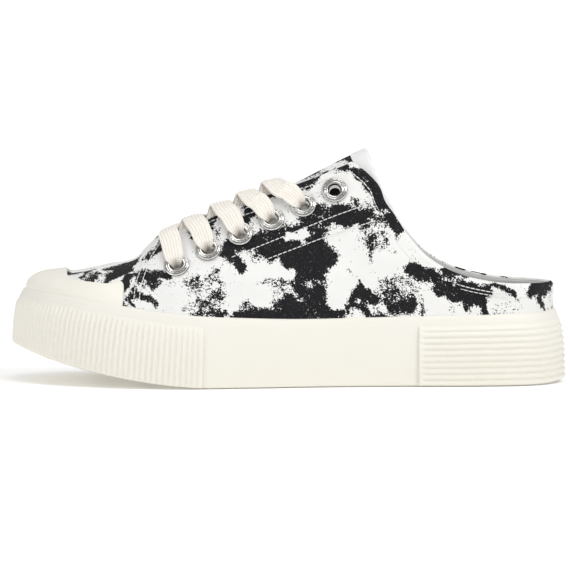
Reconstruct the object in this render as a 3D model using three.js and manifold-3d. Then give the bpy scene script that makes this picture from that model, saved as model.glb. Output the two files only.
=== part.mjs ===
// Canvas sneaker mule, left shoe, in millimetres.
// +X points to the toe, +Y to the outer side of the foot, +Z up. The origin is on the floor under the middle.
import * as THREE from "three";
import { mergeVertices } from "three/addons/utils/BufferGeometryUtils.js";
import Module from "manifold-3d";

const wasm = await Module();
wasm.setup();

// Driving sizes
const LENGTH = 270; // sole, heel to toe
const BALL_WIDTH = 100; // sole, at the ball
const HEEL_WIDTH = 69; // sole, at the heel
const SIDE_HEIGHT = 34; // rubber side band, bottom to top edge at the waist
const TOE_SPRING = 18; // rise of the toe off the floor
const HEEL_ROLL = 1.5; // rise of the heel's back edge off the floor
const INSTEP_HEIGHT = 106; // floor to the top corner of the eyestays
const TONGUE_END = 172; // toe to the tongue's top end, along the floor
const GAP = 0.3; // between neighbouring pieces

// Sole sizes
const FOXING_DEPTH = 3.8; // rubber band, outside to inside at mid height
const FOXING_LIFT = 0.5; // band's bottom edge above the tread
const FOXING_ROUND = 2.6; // how far the band's top edge draws in
const STRIP = 0.9; // ribbed strips, flat part
const RIB = 0.5; // depth of the strips' grooves
const TOE_RIB_PITCH = 2.8;
const HEEL_RIBS = 10;
const TOE_STRIP_END = 94.5; // strip's ends, from the toe
const HEEL_STRIP_END = 72.6; // strip's ends, from the heel
const OUTSOLE_HEIGHT = 21;
const TREAD_DEPTH = 1.8;
const TREAD_WIDTH = 2.4;
const TREAD_MARGIN = 6;
const TREAD_ROWS = 11;
const TREAD_START = 0.09; // first groove, as a share of the length
const INSOLE_HEIGHT = 4;

// Upper sizes
const CANVAS = 2; // wall of the upper
const QUARTER_STEP = 0.7; // quarter laid over the vamp
const BAND_STEP = 0.6; // collar binding on the quarter
const BAND_WIDTH = 4.5;
const CAP_THICKNESS = 1.5; // rubber toe cap
const TONGUE_THICKNESS = 3.5;
const TONGUE_DROP = 3.4; // tongue's ridge below the upper's own ridge line
const THROAT_START = 70; // front of the throat, from the toe
const THROAT_NOSE = 6; // tongue's plate starts this far ahead of the throat
const TONGUE_LAP = 14; // tongue's plate under each flap
const TONGUE_SLANT = 9; // its end edge leans forward by this down to the collar
const TONGUE_SWEEP = 30; // and by this towards its lowest corner
const TONGUE_TAIL = 20; // which ends this far behind its top

// Eyelets and lace
const EYELETS = 6; // pairs
const EYELET_FIRST = 82; // first pair, from the toe
const EYELET_PITCH = 15.1; // along the floor
const EYELET_DROP = 14.8; // first pair, below the throat's edge, in side view
const EYELET_RISE = 1.05; // each next pair, nearer to that edge
const FLANGE_RADIUS = 6.2;
const FLANGE_HEIGHT = 1.1;
const BORE_RADIUS = 2.9;
const BARREL_WALL = 0.5;
const LACE_WIDTH = 9.6;
const LACE_THICKNESS = 1.5;
const LACE_REACH = 7; // a strand moves this far towards the toe on its way to the throat
const LACE_BOW = 3; // its rise over the tongue's middle

// Plan of the sole: half widths to each side as shares of half the named width
const PLAN = [
  { at: 0.03, outer: 0.64, inner: 0.52, of: HEEL_WIDTH },
  { at: 0.08, outer: 0.9, inner: 0.78, of: HEEL_WIDTH },
  { at: 0.18, outer: 1.04, inner: 0.93, of: HEEL_WIDTH },
  { at: 0.3, outer: 1.06, inner: 0.94, of: HEEL_WIDTH },
  { at: 0.42, outer: 0.78, inner: 0.64, of: BALL_WIDTH },
  { at: 0.55, outer: 0.91, inner: 0.74, of: BALL_WIDTH },
  { at: 0.66, outer: 1.0, inner: 0.92, of: BALL_WIDTH },
  { at: 0.74, outer: 0.97, inner: 1.0, of: BALL_WIDTH },
  { at: 0.83, outer: 0.83, inner: 0.98, of: BALL_WIDTH },
  { at: 0.91, outer: 0.58, inner: 0.86, of: BALL_WIDTH },
  { at: 0.965, outer: 0.26, inner: 0.64, of: BALL_WIDTH },
];
const HEEL_TIP = 0.06; // side shift of the heel's tip, as a share of half the heel width
const TOE_TIP = -0.24; // side shift of the toe's tip, as a share of half the ball width

// Side band: its height over the bottom edge as a share of SIDE_HEIGHT
const BAND_TOP = [
  { at: 0, height: 1.035 },
  { at: 0.3, height: 0.99 },
  { at: 0.48, height: 0.968 },
  { at: 0.67, height: 1.02 },
  { at: 0.8, height: 1.01 },
  { at: 0.89, height: 0.96 },
  { at: 0.96, height: 0.87 },
  { at: 1, height: 0.8 },
];
// Side band: how far it draws in, as a share of FOXING_ROUND, at a share of its height
const BAND_PROFILE = [
  { at: 0, side: 0.3, toe: 0.45 },
  { at: 0.5, side: 0, toe: 0 },
  { at: 0.86, side: 0.4, toe: 0.1 },
  { at: 1, side: 1, toe: 0.7 },
];
const STRIP_TOP = 0.86; // strips end at this share of the band's height

// Upper, one row for each cross-section. ridge is a share of INSTEP_HEIGHT, across and crown are shares of half
// the ball width, crownUp and sideUp are shares of the section's height, bulge is a share of its half width.
const SECTIONS = [
  { at: 0.13, ridge: 1.18, across: 0.04, crown: 0.36, crownUp: 0.85, bulge: 0.9, sideUp: 0.4 },
  { at: 0.2, ridge: 1.18, across: 0.03, crown: 0.38, crownUp: 0.92, bulge: 0.8, sideUp: 0.4 },
  { at: 0.315, ridge: 1.13, across: 0.01, crown: 0.38, crownUp: 1.0, bulge: 0.6, sideUp: 0.45 },
  { at: 0.385, ridge: 1.065, across: 0, crown: 0.38, crownUp: 1.06, bulge: 0.5, sideUp: 0.5 },
  { at: 0.45, ridge: 0.995, across: 0, crown: 0.38, crownUp: 1.06, bulge: 0.46, sideUp: 0.5 },
  { at: 0.515, ridge: 0.92, across: -0.01, crown: 0.4, crownUp: 1.07, bulge: 0.43, sideUp: 0.5 },
  { at: 0.575, ridge: 0.85, across: -0.02, crown: 0.42, crownUp: 1.09, bulge: 0.4, sideUp: 0.48 },
  { at: 0.645, ridge: 0.765, across: -0.04, crown: 0.44, crownUp: 1.12, bulge: 0.36, sideUp: 0.44 },
  { at: 0.722, ridge: 0.66, across: -0.06, crown: 0.46, crownUp: 1.14, bulge: 0.38, sideUp: 0.42 },
  { at: 0.767, ridge: 0.558, across: -0.08, crown: 0.46, crownUp: 1.04, bulge: 0.62, sideUp: 0.48 },
  { at: 0.807, ridge: 0.535, across: -0.1, crown: 0.48, crownUp: 1.0, bulge: 0.88, sideUp: 0.55 },
  { at: 0.852, ridge: 0.507, across: -0.14, crown: 0.48, crownUp: 1.0, bulge: 1.0, sideUp: 0.55 },
  { at: 0.915, ridge: 0.488, across: -0.18, crown: 0.36, crownUp: 1.0, bulge: 1.0, sideUp: 0.55 },
];

// Top line from the eyestay's corner to the heel: height as a share of INSTEP_HEIGHT
const TOPLINE = [
  { at: 0.384, height: 1.0 },
  { at: 0.36, height: 0.953 },
  { at: 0.34, height: 0.896 },
  { at: 0.33, height: 0.83 },
  { at: 0.313, height: 0.77 },
  { at: 0.291, height: 0.684 },
  { at: 0.254, height: 0.58 },
  { at: 0.209, height: 0.512 },
  { at: 0.16, height: 0.475 },
  { at: 0.1, height: 0.455 },
  { at: 0, height: 0.455 },
];
// Throat: half its width as a share of half the ball width
const THROAT = [
  { at: 0.32, half: 0.24 },
  { at: 0.385, half: 0.24 },
  { at: 0.5, half: 0.28 },
  { at: 0.6, half: 0.32 },
  { at: 0.7, half: 0.35 },
];
// Quarter's front edge, top to bottom: height as a share of SIDE_HEIGHT
const QUARTER_EDGE = [
  { at: 0.74, height: 2.1 },
  { at: 0.766, height: 1.74 },
  { at: 0.777, height: 1.45 },
  { at: 0.783, height: 0.9 },
];
// Toe cap's rear edge from the ridge down the side: height as a share of SIDE_HEIGHT
const CAP_EDGE = [
  { at: 0.897, height: 1.9 },
  { at: 0.895, height: 1.56 },
  { at: 0.874, height: 1.5 },
  { at: 0.845, height: 1.475 },
  { at: 0.82, height: 1.465 },
  { at: 0.791, height: 1.46 },
  { at: 0.797, height: 0.9 },
];

const STATIONS = 26; // cross-sections along the length
const LEAN = 0.55; // share of the sole's slope by which its wall leans back
const SPRING_START = 0.63; // where the toe starts to rise
const SPRING_CURVE = 1.7;
const ROLL_START = 0.07; // where the heel starts to rise
const HEEL_POLE = 0.13; // ends of the upper's ridge line
const TOE_POLE = 0.915;
const FAR = LENGTH; // reach of the cutting solids

const COLOURS = {
  rubber: 0xf5f2e8,
  canvas: 0xf4f3ee,
  lining: 0xc7c7c5,
  metal: 0xb9bcc0,
  lace: 0xefe8dc,
};

const along = (share) => (share - 0.5) * LENGTH;
const shareOf = (x) => x / LENGTH + 0.5;
const mix = (a, b, t) => a + (b - a) * t;

// A table's column read at a place between its rows, along a smooth curve
function read(rows, column, at) {
  const last = rows.length - 1;
  if (at <= rows[0].at) return rows[0][column];
  if (at >= rows[last].at) return rows[last][column];
  const i = rows.findIndex((row) => row.at > at) - 1;
  const slope = (k) => {
    const a = rows[Math.max(k - 1, 0)];
    const b = rows[Math.min(k + 1, last)];
    return (b[column] - a[column]) / (b.at - a.at);
  };
  const span = rows[i + 1].at - rows[i].at;
  const t = (at - rows[i].at) / span;
  const t2 = t * t;
  const t3 = t2 * t;
  return (
    rows[i][column] * (2 * t3 - 3 * t2 + 1) +
    slope(i) * span * (t3 - 2 * t2 + t) +
    rows[i + 1][column] * (3 * t2 - 2 * t3) +
    slope(i + 1) * span * (t3 - t2)
  );
}

// Sole

const planPoints = [
  new THREE.Vector3(along(0), (HEEL_TIP * HEEL_WIDTH) / 2, 0),
  ...PLAN.map((row) => new THREE.Vector3(along(row.at), (row.outer * row.of) / 2, 0)),
  new THREE.Vector3(along(1), (TOE_TIP * BALL_WIDTH) / 2, 0),
  ...PLAN.toReversed().map((row) => new THREE.Vector3(along(row.at), (-row.inner * row.of) / 2, 0)),
];
const plan = new THREE.CatmullRomCurve3(planPoints, true, "centripetal");
plan.arcLengthDivisions = 900;

const OUTER = 1;
const INNER = -1;
const TOE_TURN = (PLAN.length + 1) / planPoints.length; // the toe's tip on the plan curve

// The plan curve's parameter where a side passes a place along the length
function turnAt(x, side) {
  let low = side === OUTER ? 0 : 1;
  let high = TOE_TURN;
  for (let k = 0; k < 40; k += 1) {
    const middle = (low + high) / 2;
    if (plan.getPoint(middle).x < x) low = middle;
    else high = middle;
  }
  return (low + high) / 2;
}

// Height of the sole's bottom over the floor, and its slope
function floorAt(x) {
  const toe = Math.max(0, (x - along(SPRING_START)) / (along(1) - along(SPRING_START)));
  const heel = Math.max(0, (along(ROLL_START) - x) / (along(ROLL_START) - along(0)));
  return TOE_SPRING * toe ** SPRING_CURVE + HEEL_ROLL * heel ** 2;
}
function slopeAt(x) {
  return floorAt(x + 0.5) - floorAt(x - 0.5);
}
const bandTop = (x) => SIDE_HEIGHT * read(BAND_TOP, "height", shareOf(x));

// A point of the sole: inset from the plan's edge, a height above the bottom, leaning back with the toe spring
function solePoint(turn, height, inset) {
  const edge = plan.getPoint(turn);
  const tangent = plan.getTangent(turn);
  const x = edge.x + tangent.y * inset;
  const y = edge.y - tangent.x * inset;
  const up = typeof height === "function" ? height(x) : height;
  return new THREE.Vector3(x - LEAN * slopeAt(x) * up, y, floorAt(x) + up);
}

// Inset of the foxing's outside at a share of its height
function foxingInset(x, up) {
  const toe = THREE.MathUtils.smoothstep(x, along(0.7), along(1));
  const round = mix(read(BAND_PROFILE, "side", up), read(BAND_PROFILE, "toe", up), toe);
  return STRIP + GAP + FOXING_ROUND * round;
}
const FOXING_INSIDE = STRIP + GAP + FOXING_DEPTH;
const UPPER_INSET = FOXING_INSIDE + GAP;

// Columns round the shoe, in pairs at the same place along the length: heel, outer side, toe, inner side
const places = Array.from({ length: STATIONS + 1 }, (_, i) => {
  return (-LENGTH / 2) * Math.cos((Math.PI * i) / STATIONS);
});
const columns = [
  { x: places[0], turn: 0 },
  ...places.slice(1, -1).map((x) => ({ x, turn: turnAt(x, OUTER) })),
  { x: places[STATIONS], turn: TOE_TURN },
  ...places.slice(1, -1).toReversed().map((x) => ({ x, turn: turnAt(x, INNER) })),
];

// Meshes from rings of points

function facesBetween(a, b, closed) {
  const faces = [];
  const count = closed ? a.length : a.length - 1;
  for (let i = 0; i < count; i += 1) {
    const j = (i + 1) % a.length;
    faces.push(a[i], b[i], b[j], a[i], b[j], a[j]);
  }
  return faces;
}

// Cap of a ring of paired columns, as strips across the shoe
function pairedCap(ring) {
  const faces = [];
  const half = ring.length / 2;
  for (let i = 0; i < half; i += 1) {
    const a = ring[i];
    const b = ring[(ring.length - i) % ring.length];
    const c = ring[ring.length - i - 1];
    const d = ring[i + 1];
    faces.push(a, c, d, a, b, c);
  }
  return faces;
}

// Triangles turned round
const flipped = (faces) => faces.toReversed();

// A closed solid from triangles, whichever way round they run
function solid(faces) {
  const geometry = new THREE.BufferGeometry().setFromPoints(faces);
  const made = solidFromGeometry(geometry);
  if (made.volume() > 0) return made;
  return solidFromGeometry(new THREE.BufferGeometry().setFromPoints(flipped(faces)));
}

function solidFromGeometry(geometry) {
  const bare = geometry.clone();
  bare.deleteAttribute("normal");
  bare.deleteAttribute("uv");
  const merged = mergeVertices(bare, 1e-4);
  const index = Array.from(merged.index.array);
  const kept = [];
  for (let i = 0; i < index.length; i += 3) {
    const [a, b, c] = index.slice(i, i + 3);
    if (a !== b && b !== c && c !== a) kept.push(a, b, c);
  }
  return new wasm.Manifold(
    new wasm.Mesh({
      numProp: 3,
      vertProperties: merged.attributes.position.array,
      triVerts: new Uint32Array(kept),
    }),
  );
}

// Rings stacked bottom to top, with both ends capped across
function stack(rings) {
  const faces = [...flipped(pairedCap(rings[0]))];
  for (let k = 1; k < rings.length; k += 1) faces.push(...facesBetween(rings[k - 1], rings[k], true));
  faces.push(...pairedCap(rings.at(-1)));
  return solid(faces);
}

// Closed sections along a path, with the ends capped as fans
function loft(sections) {
  const fan = (ring) => ring.slice(1, -1).flatMap((point, i) => [ring[0], point, ring[i + 2]]);
  const faces = [...flipped(fan(sections[0])), ...fan(sections.at(-1))];
  for (let k = 1; k < sections.length; k += 1) {
    faces.push(...flipped(facesBetween(sections[k - 1], sections[k], true)));
  }
  return solid(faces);
}

const soleRing = (height, inset) => columns.map(({ turn }) => solePoint(turn, height, inset));

// Extruded outlines for cutting: in side view across the shoe, and in plan upwards
function sidePrism(points) {
  const geometry = new THREE.ExtrudeGeometry(new THREE.Shape(points), { depth: FAR, bevelEnabled: false });
  geometry.rotateX(Math.PI / 2).translate(0, FAR / 2, 0);
  return solidFromGeometry(geometry);
}
function planPrism(points, bottom) {
  const geometry = new THREE.ExtrudeGeometry(new THREE.Shape(points), { depth: FAR, bevelEnabled: false });
  geometry.translate(0, 0, bottom);
  return solidFromGeometry(geometry);
}

// Points of a side-view edge from a table, each height a share of a named size
const edgePoints = (rows, size) => rows.map((row) => new THREE.Vector2(along(row.at), row.height * size));
const smoothEdge = (points, count) => new THREE.SplineCurve(points).getPoints(count);

// A zigzag groove across the sole's bottom
function treadGroove(at) {
  const steps = 6;
  const x = along(at);
  const zigzag = TREAD_WIDTH;
  const inset = UPPER_INSET + TREAD_MARGIN;
  const outer = solePoint(turnAt(x, OUTER), 0, inset);
  const inner = solePoint(turnAt(x, INNER), 0, inset);
  const corners = [
    [-TREAD_WIDTH / 2, -TREAD_DEPTH],
    [TREAD_WIDTH / 2, -TREAD_DEPTH],
    [TREAD_WIDTH / 2, TREAD_DEPTH],
    [-TREAD_WIDTH / 2, TREAD_DEPTH],
  ];
  const sections = [];
  for (let k = 0; k <= steps; k += 1) {
    const y = mix(inner.y, outer.y, k / steps);
    const middle = x + (k % 2 ? zigzag : -zigzag);
    sections.push(corners.map(([dx, up]) => new THREE.Vector3(middle + dx, y, floorAt(middle + dx) + up)));
  }
  return loft(sections);
}

function outsole() {
  let body = stack([soleRing(0, UPPER_INSET), soleRing(OUTSOLE_HEIGHT, UPPER_INSET)]);
  for (let k = 0; k < TREAD_ROWS; k += 1) {
    body = body.subtract(treadGroove(mix(TREAD_START, 1 - TREAD_START, k / (TREAD_ROWS - 1))));
  }
  return body;
}

function foxing() {
  const outside = BAND_PROFILE.map((row) => {
    return columns.map(({ turn, x }) => {
      const height = (px) => mix(FOXING_LIFT, bandTop(px), row.at);
      return solePoint(turn, height, foxingInset(x, row.at));
    });
  });
  const inside = [soleRing(bandTop, FOXING_INSIDE), soleRing(() => FOXING_LIFT, FOXING_INSIDE)];
  const rings = [...outside, ...inside];
  const faces = rings.flatMap((ring, k) => facesBetween(ring, rings[(k + 1) % rings.length], true));
  return solid(faces);
}

// Inside face of a strip at one place round the sole, top to bottom
function stripBack(turn) {
  const x = plan.getPoint(turn).x;
  return BAND_PROFILE.filter((row) => row.at <= STRIP_TOP).toReversed().map((row) => {
    return solePoint(turn, (px) => mix(FOXING_LIFT, bandTop(px), row.at), foxingInset(x, row.at) - GAP);
  });
}

// Front face of a strip at one place, bottom to top, with a groove depth for each share of the band's height
function stripFront(turn, rows) {
  const x = plan.getPoint(turn).x;
  return rows.map(({ at, groove }) => {
    const inset = foxingInset(x, at) - GAP - STRIP + groove;
    return solePoint(turn, (px) => mix(FOXING_LIFT, bandTop(px), at), inset);
  });
}

const lengthBetween = (a, b) => {
  const points = Array.from({ length: 200 }, (_, i) => plan.getPoint(mix(a, b, i / 199)));
  return points.slice(1).reduce((sum, point, i) => sum + point.distanceTo(points[i]), 0);
};

// Upright ribs round the toe
function toeStrip() {
  const start = turnAt(along(1) - TOE_STRIP_END, OUTER);
  const end = turnAt(along(1) - TOE_STRIP_END, INNER);
  const ribs = Math.round(lengthBetween(start, end) / TOE_RIB_PITCH);
  const heights = BAND_PROFILE.filter((row) => row.at <= STRIP_TOP);
  const sections = [];
  for (let k = 0; k <= ribs * 2; k += 1) {
    const turn = mix(start, end, k / (ribs * 2));
    const groove = k % 2 ? 0 : RIB;
    const front = stripFront(turn, heights.map(({ at }) => ({ at, groove })));
    sections.push([...front, ...stripBack(turn)]);
  }
  return loft(sections);
}

// Level ribs round the heel
function heelStrip() {
  const start = turnAt(along(0) + HEEL_STRIP_END, INNER);
  const end = turnAt(along(0) + HEEL_STRIP_END, OUTER) + 1;
  const steps = 20;
  const heights = Array.from({ length: HEEL_RIBS * 2 + 1 }, (_, k) => {
    return { at: (STRIP_TOP * k) / (HEEL_RIBS * 2), groove: k % 2 ? RIB : 0 };
  });
  const sections = [];
  for (let k = 0; k <= steps; k += 1) {
    const turn = mix(start, end, k / steps) % 1;
    sections.push([...stripFront(turn, heights), ...stripBack(turn)]);
  }
  return loft(sections);
}

function insole() {
  const inset = UPPER_INSET + CANVAS + GAP;
  const bottom = OUTSOLE_HEIGHT + GAP;
  return stack([soleRing(bottom, inset), soleRing(bottom + INSOLE_HEIGHT, inset)]);
}

// Upper

// The ridge line's place for a column, between its two poles
const ridgeShare = (x) => mix(HEEL_POLE, TOE_POLE, shareOf(x));
function ridgePoint(x, raise) {
  const at = ridgeShare(x);
  const across = (read(SECTIONS, "across", at) * BALL_WIDTH) / 2;
  return new THREE.Vector3(along(at), across, read(SECTIONS, "ridge", at) * INSTEP_HEIGHT + raise);
}

// A point of the upper's form: t runs from the foxing's top edge (0) to the ridge (1). out and raise swell it
function formPoint(column, t, out, raise) {
  const base = solePoint(column.turn, bandTop, UPPER_INSET - out);
  const ridge = ridgePoint(column.x, raise);
  const at = ridgeShare(column.x);
  const reach = Math.hypot(base.x - ridge.x, base.y - ridge.y);
  const crown = Math.min((read(SECTIONS, "crown", at) * BALL_WIDTH) / 2 / reach, 0.6);
  const side = mix(crown, 1, read(SECTIONS, "bulge", at));
  const s = 1 - t;
  const weights = [s ** 3, 3 * s * s * t, 3 * s * t * t, t ** 3];
  const share = weights[0] + weights[1] * side + weights[2] * crown;
  const [sideUp, crownUp] = [read(SECTIONS, "sideUp", at), read(SECTIONS, "crownUp", at)];
  const up = weights[1] * sideUp + weights[2] * crownUp + weights[3];
  return new THREE.Vector3(
    mix(ridge.x, base.x, share),
    mix(ridge.y, base.y, share),
    mix(base.z, ridge.z, up),
  );
}

const FORM_STEPS = [0, 0.14, 0.29, 0.46, 0.64, 0.82, 1];

// The whole form as a closed solid, from a height inside the sole up to the ridge
function form(out, raise, bottom) {
  const rings = [soleRing(bottom, UPPER_INSET - out)];
  for (const t of FORM_STEPS) rings.push(columns.map((column) => formPoint(column, t, out, raise)));
  return stack(rings);
}

// Everything below the foxing's top edge
const belowBand = stack([
  soleRing(-OUTSOLE_HEIGHT, -FOXING_DEPTH),
  soleRing((x) => bandTop(x) + GAP, -FOXING_DEPTH),
]);

// The place on the form at a given x and y, and its outward direction
function onForm(x, y, out) {
  const side = y > ridgePoint(x, 0).y ? OUTER : INNER;
  let place = x;
  let t = 0.5;
  const point = (px, pt) => formPoint({ x: px, turn: turnAt(px, side) }, pt, out, out);
  for (let k = 0; k < 10; k += 1) {
    let low = 0;
    let high = 1;
    for (let j = 0; j < 22; j += 1) {
      t = (low + high) / 2;
      if (side * (point(place, t).y - y) > 0) low = t;
      else high = t;
    }
    place += x - point(place, t).x;
  }
  const here = point(place, t);
  const step = 0.01;
  const forward = point(place + 1, t).sub(here);
  const upward = point(place, Math.min(t + step, 1)).sub(point(place, Math.min(t, 1 - step)));
  const normal = forward.cross(upward).normalize().multiplyScalar(side);
  return { point: here, normal: normal.z < 0 ? normal.negate() : normal };
}

const throatHalf = (x) => (read(THROAT, "half", shareOf(x)) * BALL_WIDTH) / 2;
const throatMiddle = (x) => (read(SECTIONS, "across", shareOf(x)) * BALL_WIDTH) / 2;

// Plan outline along the throat, swelled sideways, with a round front
function throatOutline(start, end, extra) {
  const count = 10;
  const sides = [OUTER, INNER].map((side) => {
    return Array.from({ length: count + 1 }, (_, k) => {
      const x = mix(end, start, k / count);
      const half = throatHalf(x) + extra;
      const round = Math.sqrt(Math.max(0, 1 - Math.max(0, (x - (start - half)) / half) ** 2));
      return new THREE.Vector2(x, throatMiddle(x) + side * Math.max(half * round, 0.4));
    });
  });
  return [...sides[0], ...sides[1].toReversed()];
}

const toplinePoints = smoothEdge(edgePoints(TOPLINE, INSTEP_HEIGHT), 22);

// Everything above the top line, and a reach below it, measured across it
function aboveTopline(reach) {
  const edge = toplinePoints.map((point, i) => {
    const a = toplinePoints[Math.max(i - 1, 0)];
    const b = toplinePoints[Math.min(i + 1, toplinePoints.length - 1)];
    const tangent = b.clone().sub(a).normalize();
    return new THREE.Vector2(point.x - tangent.y * reach, point.y + tangent.x * reach);
  });
  const back = along(0) - SIDE_HEIGHT;
  return sidePrism([
    new THREE.Vector2(edge[0].x + reach, FAR),
    ...edge,
    new THREE.Vector2(back, edge.at(-1).y),
    new THREE.Vector2(back, FAR),
  ]);
}

const throatEdge = (x, side, out) => onForm(x, throatMiddle(x) + side * throatHalf(x), out);

function eyeletPlaces(side) {
  return Array.from({ length: EYELETS }, (_, k) => {
    const x = along(1) - EYELET_FIRST - k * EYELET_PITCH;
    const drop = EYELET_DROP - k * EYELET_RISE;
    const height = throatEdge(x, side, QUARTER_STEP).point.z - drop;
    let near = throatHalf(x);
    let far = near + 2 * drop;
    let place = null;
    for (let j = 0; j < 16; j += 1) {
      const out = (near + far) / 2;
      place = onForm(x, throatMiddle(x) + side * out, QUARTER_STEP);
      if (place.point.z > height) near = out;
      else far = out;
    }
    return place;
  });
}
const eyeletRows = { outer: eyeletPlaces(OUTER), inner: eyeletPlaces(INNER) };

// A lathed or cylinder geometry turned from +Y to stand along a place's outward direction
function standOn(geometry, place, lift) {
  const turn = new THREE.Quaternion().setFromUnitVectors(new THREE.Vector3(0, 1, 0), place.normal);
  const at = place.point.clone().addScaledVector(place.normal, lift);
  return geometry.applyQuaternion(turn).translate(at.x, at.y, at.z);
}

const BORE_SIDES = 9;
const EYELET_LIFT = GAP + (FLANGE_RADIUS * FLANGE_RADIUS) / HEEL_WIDTH; // clears the quarter's curve

function upper() {
  const quarter = sidePrism([
    ...edgePoints(QUARTER_EDGE, SIDE_HEIGHT),
    new THREE.Vector2(along(0) - SIDE_HEIGHT, 0),
    new THREE.Vector2(along(0) - SIDE_HEIGHT, FAR),
    new THREE.Vector2(along(QUARTER_EDGE[0].at), FAR),
  ]);
  const quarterForm = form(QUARTER_STEP, QUARTER_STEP, OUTSOLE_HEIGHT).intersect(quarter);
  const bandOut = QUARTER_STEP + BAND_STEP;
  const bandForm = form(bandOut, bandOut, OUTSOLE_HEIGHT).intersect(aboveTopline(BAND_WIDTH));
  const overlays = quarterForm.add(bandForm).subtract(belowBand);
  const outside = form(0, 0, OUTSOLE_HEIGHT + GAP).add(overlays);
  const inside = form(-CANVAS, -CANVAS, OUTSOLE_HEIGHT - SIDE_HEIGHT);
  const throat = planPrism(throatOutline(along(1) - THROAT_START, along(THROAT[0].at), 0), SIDE_HEIGHT);
  let body = outside.subtract(inside).subtract(throat).subtract(aboveTopline(0));
  for (const place of [...eyeletRows.outer, ...eyeletRows.inner]) {
    const radius = BORE_RADIUS + BARREL_WALL + GAP;
    const bore = new THREE.CylinderGeometry(radius, radius, 6 * CANVAS, BORE_SIDES);
    body = body.subtract(solidFromGeometry(standOn(bore, place, 0)));
  }
  return body;
}

function toeCap() {
  const bottom = GAP;
  const outside = form(bottom + CAP_THICKNESS, bottom + CAP_THICKNESS, OUTSOLE_HEIGHT);
  const inside = form(bottom, bottom, OUTSOLE_HEIGHT - GAP);
  const region = sidePrism([
    ...edgePoints(CAP_EDGE, SIDE_HEIGHT),
    new THREE.Vector2(along(1) + SIDE_HEIGHT, 0.9 * SIDE_HEIGHT),
    new THREE.Vector2(along(1) + SIDE_HEIGHT, 1.9 * SIDE_HEIGHT),
  ]);
  return outside.subtract(inside).intersect(region).subtract(belowBand);
}

function tongue() {
  const out = -CANVAS - GAP;
  const drop = out - TONGUE_DROP;
  const low = out - TONGUE_THICKNESS;
  const outside = form(out, drop, OUTSOLE_HEIGHT);
  const inside = form(low, drop - TONGUE_THICKNESS, OUTSOLE_HEIGHT - GAP);
  const end = along(1) - TONGUE_END;
  const plateStart = along(1) - THROAT_START + THROAT_NOSE;
  const plate = planPrism(throatOutline(plateStart, end - TONGUE_TAIL, TONGUE_LAP), SIDE_HEIGHT);
  const tip = sidePrism([
    new THREE.Vector2(end + GAP, FAR),
    new THREE.Vector2(end, 1.06 * INSTEP_HEIGHT),
    new THREE.Vector2(end - TONGUE_SLANT, 0.85 * INSTEP_HEIGHT),
    new THREE.Vector2(end - TONGUE_SWEEP, 0.5 * INSTEP_HEIGHT),
    new THREE.Vector2(along(0) - SIDE_HEIGHT, 0.5 * INSTEP_HEIGHT),
    new THREE.Vector2(along(0) - SIDE_HEIGHT, FAR),
  ]);
  return outside.subtract(inside).intersect(plate).subtract(tip);
}

// Eyelets

function eyelet(place) {
  const barrel = BORE_RADIUS + BARREL_WALL;
  const depth = EYELET_LIFT + QUARTER_STEP + CANVAS - GAP;
  const profile = [
    [BORE_RADIUS, -depth],
    [barrel, 0.2 - depth],
    [barrel, 0.15],
    [FLANGE_RADIUS, 0],
    [mix(BORE_RADIUS, FLANGE_RADIUS, 0.6), FLANGE_HEIGHT],
    [BORE_RADIUS + 0.2, 0.5 * FLANGE_HEIGHT],
    [BORE_RADIUS, -depth],
  ].map(([radius, height]) => new THREE.Vector2(radius, height));
  return solidFromGeometry(standOn(new THREE.LatheGeometry(profile, BORE_SIDES), place, EYELET_LIFT));
}

// Lace

// A flat band through points, each with the direction it faces
function band(path) {
  const curve = new THREE.CatmullRomCurve3(path.map(({ point }) => point), false, "centripetal");
  const facing = new THREE.CatmullRomCurve3(path.map(({ normal }) => normal), false, "centripetal");
  const steps = 2 * (path.length - 1);
  const sections = [];
  for (let k = 0; k <= steps; k += 1) {
    const t = k / steps;
    const middle = curve.getPoint(t);
    const tangent = curve.getTangent(t);
    const across = facing.getPoint(t).cross(tangent).normalize();
    const up = tangent.clone().cross(across).normalize();
    const corner = (a, b) => {
      const sideways = middle.clone().addScaledVector(across, (a * LACE_WIDTH) / 2);
      return sideways.addScaledVector(up, (b * LACE_THICKNESS) / 2);
    };
    sections.push([corner(-1, -1), corner(1, -1), corner(1, 1), corner(-1, 1)]);
  }
  return loft(sections);
}

const LACE_REST = GAP + LACE_THICKNESS / 2; // middle of a lace over what it lies on
const OVER_FLANGE = EYELET_LIFT + FLANGE_HEIGHT + LACE_REST;

// Places for the lace's middle: over the quarter, and over the tongue
function overQuarter(x, y, lift) {
  const place = onForm(x, y, QUARTER_STEP);
  place.point.addScaledVector(place.normal, lift);
  return place;
}
function overTongue(x, side, lift) {
  const place = onForm(x, throatMiddle(x) + side * throatHalf(x), 0);
  place.point.z += lift + LACE_REST - CANVAS - GAP - TONGUE_DROP;
  return place;
}

// From an eyelet up to the throat's edge, moving towards the toe by reach
function flapStretch(place, side, reach, lift) {
  const { x, y } = place.point;
  const edge = throatMiddle(x) + side * throatHalf(x);
  return [
    overQuarter(x, y, OVER_FLANGE),
    overQuarter(x + reach / 2, mix(y, edge, 0.5), OVER_FLANGE + 0.3 + lift),
    overQuarter(x + reach, edge, LACE_REST + 1 + lift),
  ];
}

function laceBar() {
  const reach = 2;
  return band([
    ...flapStretch(eyeletRows.outer[0], OUTER, reach, 0.8),
    ...flapStretch(eyeletRows.inner[0], INNER, reach, 0.8).toReversed(),
  ]);
}

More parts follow.
